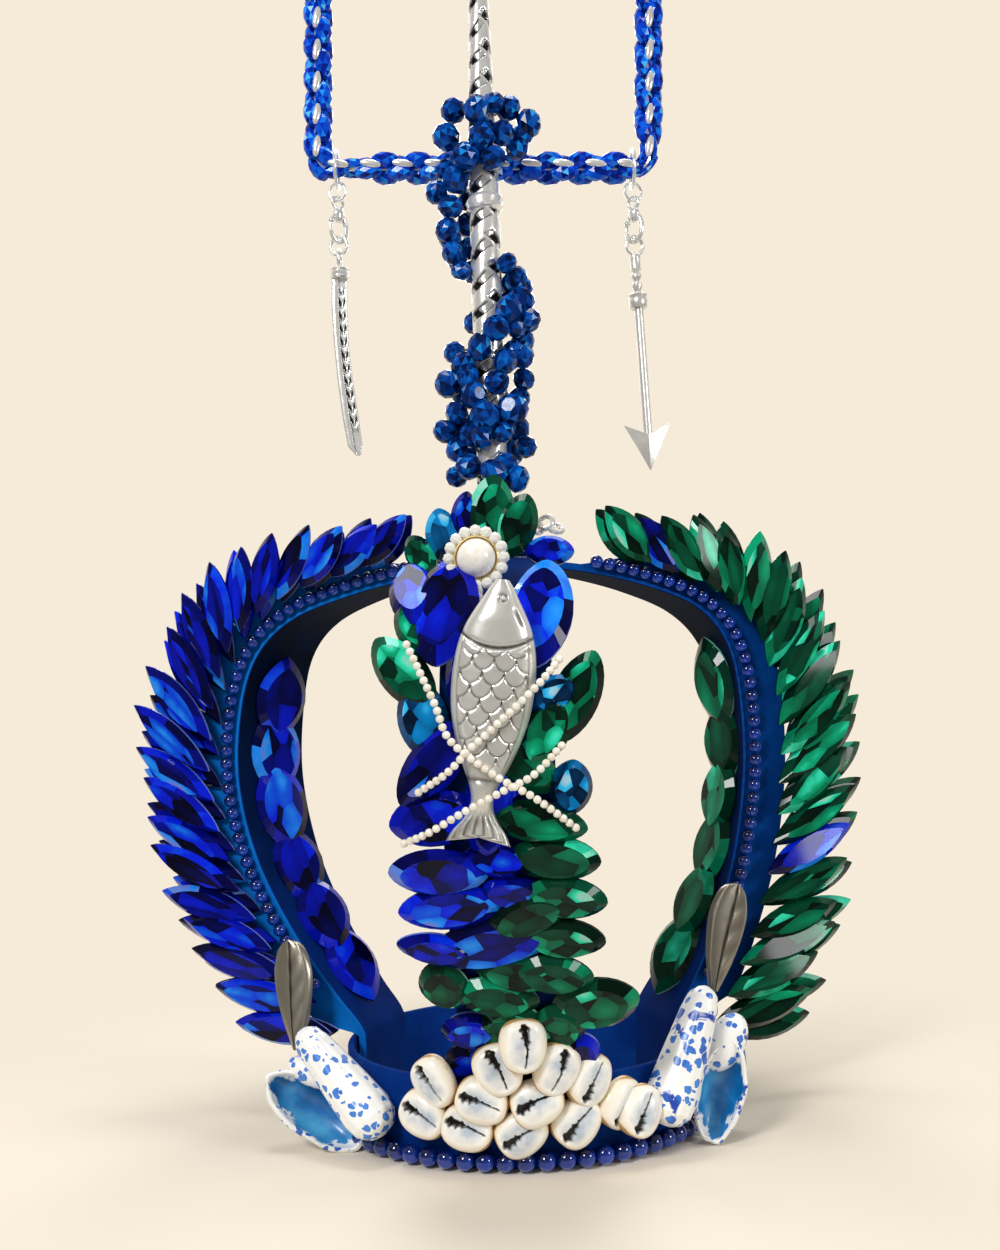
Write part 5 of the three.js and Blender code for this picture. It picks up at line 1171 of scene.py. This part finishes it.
# places: degrees round the ring, rows up, lean in degrees and how far out
cowrieSettings = {"long": 15.4, "wide": 13.6, "thick": 9.0, "teeth": 6, "slit": 1.6, "rows": 110, "columns": 84,
                  "seat": 61.0 + fit, "out": 9.0, "low": 6.0, "rise": 12.2, "roll": 12,
                  "places": [(-28, 0.8, -28, 0), (-15.2, 0.59, -20, 0), (-0.8, 0.49, 30, 0), (14, 0.67, 45, 0),
                             (26.8, 0.97, 55, 0), (-24, 1.63, -52, 0.1), (-10.8, 1.26, -20, 0.22),
                             (3.3, 1.24, 22, 0.25), (17.5, 1.65, 60, 0.12), (-6.2, 2.05, -65, 0.42),
                             (8, 2.01, -112, 0.42), (0, 2.67, -90, 0.95), (31.5, 0.76, 60, 0.3)]}


def cowrieShape():
    # an egg-shaped shell, its flat mouth towards z, lips rolled into a toothed slit
    s = cowrieSettings
    t = np.linspace(0.04, np.pi - 0.04, s["rows"])[:, None]
    along = -np.cos(t)
    swell = np.sin(t) ** 0.72 * (1 - 0.1 * along)
    # closer columns near the slit, which lies at a quarter turn
    a = around(s["columns"]) - np.pi
    a = np.pi / 2 + a * (0.45 + 0.55 * np.abs(a) / np.pi)
    y, z = swell * np.cos(a) * s["wide"] / 2, swell * np.sin(a) * s["thick"] / 2
    z = np.where(z > 0, z * 0.92, z)
    x = along * s["long"] / 2 + 0 * y
    share = x / s["long"] + 0.5
    # the mouth gapes at one end and closes to a line at the other, with uneven teeth on both lips
    off = y - 1.1 * np.sin(share * 3.0) + 0.5
    turns = share * turnFull * s["teeth"]
    upper, lower = [np.clip(np.sin(turns + shift + 1.7 * np.sin(share * 11 + shift)), 0, 1) for shift in (0.4, 2.6)]
    reach = s["slit"] * (0.16 + 0.84 * bell(share, 0.24, 0.2)) * (0.62 + 0.5 * np.where(off > 0, upper, lower))
    mouth = (np.sin(a) > 0.2) * smoothStep(share, 0.06, 0.12) * (1 - smoothStep(share, 0.8, 0.92))
    low, high = reach * 0.8, reach * 1.12 + 0.05
    gap = mouth * (1 - smoothStep(np.abs(off), low, high))
    z = z - mouth * bell(off, 0, 2.2) * 0.7 - 1.5 * gap
    edge = np.clip(np.abs(np.cos(a)) ** 3 * 0.62 + np.abs(along) ** 6 * 0.8, 0, 1)
    return *closedTube(np.stack([x, y, z], -1)), capped(gap, 0, 0), capped(edge, 1, 1)


def onRing(degrees, radius, height):
    # a place round the crown's axis, 0 degrees in front and positive to the right
    a = math.radians(degrees)
    return np.array([math.sin(a) * radius, -math.cos(a) * radius, height])


s = cowrieSettings
points, faces, gap, edge = cowrieShape()
frames = []
for side, rise, lean, outShare in s["places"]:
    out, a = onRing(side, 1, 0), math.radians(lean)
    pointing = onRing(side + 90, 1, 0) * math.cos(a) + up * math.sin(a)
    roll = math.radians(s["roll"] * math.sin(5 * side + 3 * rise))
    other = np.cross(out, pointing)
    frames.append(np.stack([pointing, other * math.cos(roll) - out * math.sin(roll),
                            out * math.cos(roll) + other * math.sin(roll),
                            out * (s["seat"] + outShare * s["out"]) + up * (s["low"] + rise * s["rise"])], -1))
# glossy shell: cream, tanned towards the edge and the ends, blue-grey where the edge value and noise are low, and near
# black inside the mouth as painted shade
cowrieFinish, base = newFinish("glossyCowrie", {"Roughness": 0.22, "IOR": 1.53, "Coat Weight": 0.2,
                                                "Coat Roughness": 0.1, "Specular IOR Level": 0.35,
                                                "Subsurface Weight": 0.08, "Subsurface Scale": 0.002})
tan = maths(cowrieFinish, "MULTIPLY_ADD", noise(cowrieFinish, 190.0).outputs[0], 0.5, reading(cowrieFinish, "edge"))
tint = ramp(cowrieFinish, [(0.18, "#b4bfcc"), (0.28, "#dcdedf"), (0.42, "#f7f4ec"), (0.85, "#efe4cd"),
                           (1.1, "#bb9460")], tan)
# painted shade: the slit is coloured near black where gap is high
coloured(cowrieFinish, base, mixed(cowrieFinish, reading(cowrieFinish, "gap"), tint, "#0b0705"))
count = len(frames)
addPiece("cowrie_pile", copies(points, faces, frames), cowrieFinish, [f"cowrie_{k + 1}" for k in range(count)],
         smooth=70, values={"gap": np.tile(gap, count), "edge": np.tile(edge, count)})


splashSettings = {"blots": 62.0, "drops": 330.0, "ragged": 0.0022, "cover": {"out": -0.25, "in": -0.36}}


def splashed(name, cover):
    # white shell with thrown blue paint: large blots where soft noise is high, and fine spatter in
    # Voronoi cells near them; gives the material, its shader and its colour
    material, base = newFinish(name, {"Roughness": 0.34, "IOR": 1.5, "Coat Weight": 0.3, "Coat Roughness": 0.15})
    s = splashSettings
    blots = noise(material, s["blots"], 5.0, Roughness=0.62, Distortion=0.6).outputs[0]
    warp = noise(material, s["blots"] * 6, 2.0).outputs["Color"]
    bent = addNode(material, "VectorMath", {"operation": "SCALE", "Scale": s["ragged"], 0: warp}).outputs[0]
    moved = addNode(material, "VectorMath", {"operation": "ADD", 0: ownPlace(material), 1: bent}).outputs[0]
    drops = addNode(material, "TexVoronoi", {"Scale": s["drops"], "Vector": moved})
    size = addNode(material, "SeparateColor", {0: drops.outputs["Color"]}).outputs[0]
    inside = maths(material, "MULTIPLY_ADD", size, -0.36, drops.outputs["Distance"])
    near = maths(material, "MULTIPLY_ADD", blots, -0.9, inside)
    blot = ramp(material, [(0.585, "#000000"), (0.61, "#ffffff")], blots)
    either = maths(material, "MAXIMUM", blot, maths(material, "LESS_THAN", near, cover))
    blue = ramp(material, [(0.5, "#3d7fd8"), (0.62, "#0b3fae")], blots)
    colour = mixed(material, either, "#f6f6f3", blue)
    return coloured(material, base, colour), base, colour


splashedShell = splashed("splashedShell", splashSettings["cover"]["out"])[0]
# inside the open shells the paint has run together into teal
pouredShell, base, colour = splashed("pouredTealInShell", splashSettings["cover"]["in"])
teal = ramp(pouredShell, [(0.3, "#023f78"), (0.5, "#0371b8"), (0.72, "#58b6e6")],
            noise(pouredShell, 75.0).outputs[0])
coloured(pouredShell, base, mixed(pouredShell, reading(pouredShell, "inside"), colour, teal))
coneSettings = {"radius": 8.0, "flat": 0.92, "rows": 110, "columns": 64, "ribs": 13,
                "shares": [(0, 0.1), (0.02, 0.34), (0.06, 0.54), (0.14, 0.68), (0.35, 0.8), (0.6, 0.93), (0.8, 1),
                           (0.9, 0.93), (0.97, 0.66), (1, 0.3)],
                "left": ((-66, 73.72, 35.5), (-40.5, 63.32, 9.0)), "right": ((56, 67.72, 47.0), (40, 62.72, 9.0))}


def coneShell(top, bottom):
    # turns of a spiral at the top end, fading into one long turn with a lip and faint ribs across
    s = coneSettings
    side = unitVector(np.cross(unitVector(bottom - top), up))
    other = np.cross(side, unitVector(bottom - top))
    down, a = np.linspace(0, 1, s["rows"])[:, None], around(s["columns"])[None, :]
    wide = np.interp(down, *np.array(s["shares"]).T)
    turns = smoothStep(0.3 - down, 0, 0.25) * (0.08 * np.abs((down * 9 + a / turnFull) % 1 - 0.5) - 0.02)
    ribs = 0.018 * np.cos(a * s["ribs"]) * smoothStep(down, 0.1, 0.3)
    mouth = 0.16 * bell(a - np.pi * 1.45 - 0.6 * down, 0, 0.22) * smoothStep(down, 0.34, 0.5)
    r = (s["radius"] * (wide * (1 + ribs - mouth) + turns))[..., None]
    return closedTube(top + (bottom - top) * down[..., None]
                      + r * (np.cos(a)[..., None] * side + s["flat"] * np.sin(a)[..., None] * other))


for side in sideArches:
    top, bottom = [onRing(*place) for place in coneSettings[side]]
    addPiece(f"{side}_cone", coneShell(top, bottom), splashedShell, [f"{side}_cone_shell"], smooth=60)

# each shell: place on the ring, the way it is long, the way it opens, and size
openSettings = {"long": 36.0, "wide": 17.0, "thick": 9.0, "wall": 1.6, "rows": 26, "columns": 72,
                "left": ((-61, 72, 12), (-0.8, 0.1, 0.55), (-0.4, -0.78, 0.45), 1.0),
                "right": ((56.5, 71, 15.5), (0.25, 0.1, 0.95), (-0.1, -0.95, 0.2), 0.86)}


def openShell(centre, long, opening, size):
    # half a bowl with a rounded lip; paint fills the inside and runs over the lip in drips
    s = openSettings
    a, deep = around(s["columns"])[None, :], np.linspace(0.02, 1, s["rows"])[:, None]
    polar = deep * np.pi / 2
    wavy = 1 + 0.02 * np.sin(5 * a + 1) + 0.015 * np.sin(9 * a)
    bowl = lambda grow: np.stack([(s["wide"] / 2 + grow) * np.sin(polar) * np.cos(a) * wavy,
                                  (s["thick"] + grow) * np.cos(polar) + 0 * a,
                                  (s["long"] / 2 + grow) * np.sin(polar) * np.sin(a) * wavy], -1)
    outer, inner = bowl(0), bowl(-s["wall"])[::-1]
    lip = (outer[-1:] + inner[:1]) / 2 + np.array([0, -0.5, 0])
    drip = 0.72 + 0.16 * np.sin(4 * a + 0.7) + 0.1 * np.sin(11 * a)
    paint = np.concatenate([np.zeros((s["rows"] + 1, s["columns"])), deep[::-1] < drip + 0.1])
    points, faces = closedTube(np.concatenate([outer, lip, inner]))
    # the long way, the way it opens, and the way across
    z, opening = unitVector(np.array(long, float)), np.array(opening, float)
    y = -unitVector(opening - z * (z @ opening))
    return (size * points @ np.stack([np.cross(y, z), y, z]) + centre, faces), capped(paint, 0, 1)


def lobe(centre, halves, lean):
    # a knob of shell: a ball stretched to three half sizes and leant in the picture plane
    points, faces = ball(20, 40)
    return onRing(*centre) + turnAbout(points * np.array(halves), forward, lean), faces


for side in sideArches:
    place, *ways = openSettings[side]
    shape, paint = openShell(onRing(*place), *ways)
    addPiece(f"{side}_bowl_shell", shape, pouredShell, [f"{side}_open_shell"], smooth=60, values={"inside": paint})
for name, spot, halves, lean in (("left_shell_lobe", (-65, 71, 22.5), (8.0, 4.5, 4.2), -26),
                                 ("right_shell_lobe", (61.5, 70.5, 29.0), (6.0, 4.5, 9.5), -28)):
    addPiece(name, lobe(spot, halves, lean), splashedShell, smooth=60)
wing = lobe((65.5, 70.0, 19.0), (5.0, 3.0, 11.5), -8)
addPiece("right_shell_wing", wing, pouredShell, smooth=60, values={"inside": np.ones(len(wing[0]))})

# left and right: height on the arch, offset from its edge and turn
petalSettings = {"long": 36.0, "wide": 14.0, "thick": 3.2, "left": (30.5, 7.5, 30.0), "right": (39.0, -3.0, -13.0),
                 "outline": [(0, 0.16), (0.1, 0.36), (0.3, 0.72), (0.55, 0.97), (0.72, 1), (0.88, 0.78), (0.96, 0.48),
                             (1, 0.06)]}


def petal(arch, height, offset, turn):
    # a blunt leaf with a raised rim, a crease that crosses it and faint ripples on one side
    s = petalSettings
    t = np.array([arch.above(height)])
    rise = arch.rise(t)[0]
    x = turnAbout(rise, forward, -turn)
    front = frontBase + stoneSettings["step"] + stoneDepth + fit
    root = arch.edge(t, np.array([offset]), np.array([front]))[0] + (rise - x) * s["long"] / 2
    z = unitVector(arch.front - x * (arch.front @ x))
    share = np.linspace(0.01, 0.995, 70)[:, None]
    wide = outlineAt(s["outline"], share, 0.005) * s["wide"] / 2
    u = np.concatenate([np.linspace(-1, 1, 41), np.linspace(1, -1, 12)[1:-1]])[None, :]
    isFront = np.arange(u.shape[1]) < 41
    dome = np.sqrt(np.maximum(0, 1 - np.abs(u) ** 2.2))
    crease, rim = bell(u, 0.2 - 0.3 * share, 0.07), 0.1 * bell(np.abs(u), 0.86, 0.06)
    ripples = 0.02 * np.cos(share * 30 - np.abs(u) * 6) * (u < 0.1) * (np.abs(u) < 0.7)
    high = s["thick"] * (0.35 + 0.75 * dome - 0.09 * crease + rim + ripples) * isFront
    points = (root + share[..., None] * s["long"] * x + (u * wide)[..., None] * np.cross(z, x)
              + high[..., None] * z)
    recess = np.clip(0.2 + 0.7 * crease - ripples * 5 - rim * 2, 0, 0.9) * isFront
    return closedTube(points), capped(recess, 0.4, 0.4)


for side, arch in sideArches.items():
    shape, recess = petal(arch, *petalSettings[side])
    addPiece(f"{side}_petal_cast", shape, oldPewter, [f"{side}_petal"], smooth=40, values={"recess": recess})
print("shells done")

# the paper thins out to nothing with distance, so that it meets the backdrop without a line
settingColours = {"paper": "#e9dfce", "backdrop": "#f6ebd9", "light": "#f4f1ea"}
paperSettings = {"rings": (0.05, 0.15, 0.32), "sides": 96, "fadeFrom": 0.1, "fadeTo": 0.3, "below": 0.0002}
s = paperSettings
cream, base = newFinish("creamPaper", {"Base Color": settingColours["paper"], "Roughness": 0.95,
                                       "Specular IOR Level": 0.05})
far = addNode(cream, "VectorMath", {"operation": "LENGTH", 0: ownPlace(cream)}).outputs["Value"]
fade = addNode(cream, "MapRange", {"interpolation_type": "SMOOTHSTEP", "Value": far, "From Min": s["fadeFrom"],
                                   "From Max": s["fadeTo"], "To Min": 0.0, "To Max": 1.0})
thin = addNode(cream, "MixShader", {0: fade.outputs[0], 1: base.outputs[0],
                                    2: addNode(cream, "BsdfTransparent").outputs[0]})
paperOut = next(n for n in cream.node_tree.nodes if n.type == "OUTPUT_MATERIAL")
cream.node_tree.links.new(thin.outputs[0], paperOut.inputs[0])
points, faces = closedTube(turned([(r, -s["below"]) for r in s["rings"]], s["sides"]))
mesh = bpy.data.meshes.new("paper_disc")
mesh.from_pydata(points[:-1].tolist(), [], [f for f in faces if max(f) < len(points) - 1])
mesh.materials.append(cream)
paper = bpy.data.objects.new("paper_disc", mesh)
bpy.context.scene.collection.objects.link(paper)

# the camera sees the backdrop at full strength; metal and glass see it darker low down and in front
world = bpy.data.worlds.new("studio")
bpy.context.scene.world = world
world.use_nodes = True
world.node_tree.nodes.clear()
seen = addNode(world, "LightPath").outputs
skyLight = addNode(world, "Background", {"Color": settingColours["light"], "Strength": 0.45}).outputs[0]
skySeen = addNode(world, "Background", {"Color": settingColours["backdrop"], "Strength": 1.0}).outputs[0]
way = addNode(world, "SeparateXYZ", {0: addNode(world, "TexCoord").outputs["Generated"]}).outputs[1]
depth = addNode(world, "MapRange", {"interpolation_type": "SMOOTHSTEP", "Value": way, "From Min": -0.1,
                                    "From Max": 0.7, "To Min": 0.2, "To Max": 1.0}).outputs[0]
skyGloss = addNode(world, "Background", {"Color": settingColours["backdrop"], "Strength": depth}).outputs[0]
mirrored = maths(world, "MAXIMUM", seen["Is Glossy Ray"], seen["Is Transmission Ray"])
lit = addNode(world, "MixShader", {0: mirrored, 1: skyLight, 2: skyGloss}).outputs[0]
sky = addNode(world, "MixShader", {0: seen["Is Camera Ray"], 1: lit, 2: skySeen}).outputs[0]
addNode(world, "OutputWorld", {0: sky})


def placed(name, data, columns):
    # an object whose axes and place are the four columns
    thing = bpy.data.objects.new(name, data)
    bpy.context.scene.collection.objects.link(thing)
    thing.matrix_world = Matrix([[column[k] for column in columns] for k in range(3)] + [[0, 0, 0, 1]])
    return thing


# each square panel: place and target in metres, size and watts
lampSettings = {"keyPanel": ((-0.5, -0.8, 0.75), (0.0, 0.0, 0.17), 0.26, 7.5),
                "fillPanel": ((0.8, -0.55, 0.4), (0.0, 0.0, 0.17), 0.26, 3.0),
                "topPanel": ((0.0, 0.1, 1.1), (0.0, 0.0, 0.17), 0.4, 4.0),
                "backPanel": ((0.0, 0.7, 0.6), (0.0, 0.0, 0.25), 0.4, 2.0)}
for name, (spot, target, size, power) in lampSettings.items():
    lamp = bpy.data.lights.new(name, "AREA")
    lamp.shape, lamp.size, lamp.energy = "SQUARE", size, power
    back = unitVector(np.array(spot) - np.array(target))
    side = unitVector(np.cross(up, back))
    placed(name, lamp, [side, np.cross(back, side), back, spot])

# metres, degrees and millimetres of lens
cameraSettings = {"away": 0.422, "height": 0.1257, "aside": -0.0038, "roll": 1.64, "lens": 36.83, "shift": 0.084,
                  "sensor": 36.0, "clip": (0.01, 20)}
s = cameraSettings
lens = bpy.data.cameras.new("view")
lens.sensor_fit, lens.sensor_height, lens.lens, lens.shift_y = "VERTICAL", s["sensor"], s["lens"], s["shift"]
lens.clip_start, lens.clip_end = s["clip"]
right, upright = [turnAbout(v, forward, -s["roll"]) for v in (across, up)]
spot = middle + np.array([s["aside"], -s["away"], s["height"]])
bpy.context.scene.camera = placed("view", lens, [right, upright, forward, spot])
bpy.context.scene.view_settings.view_transform = "Standard"
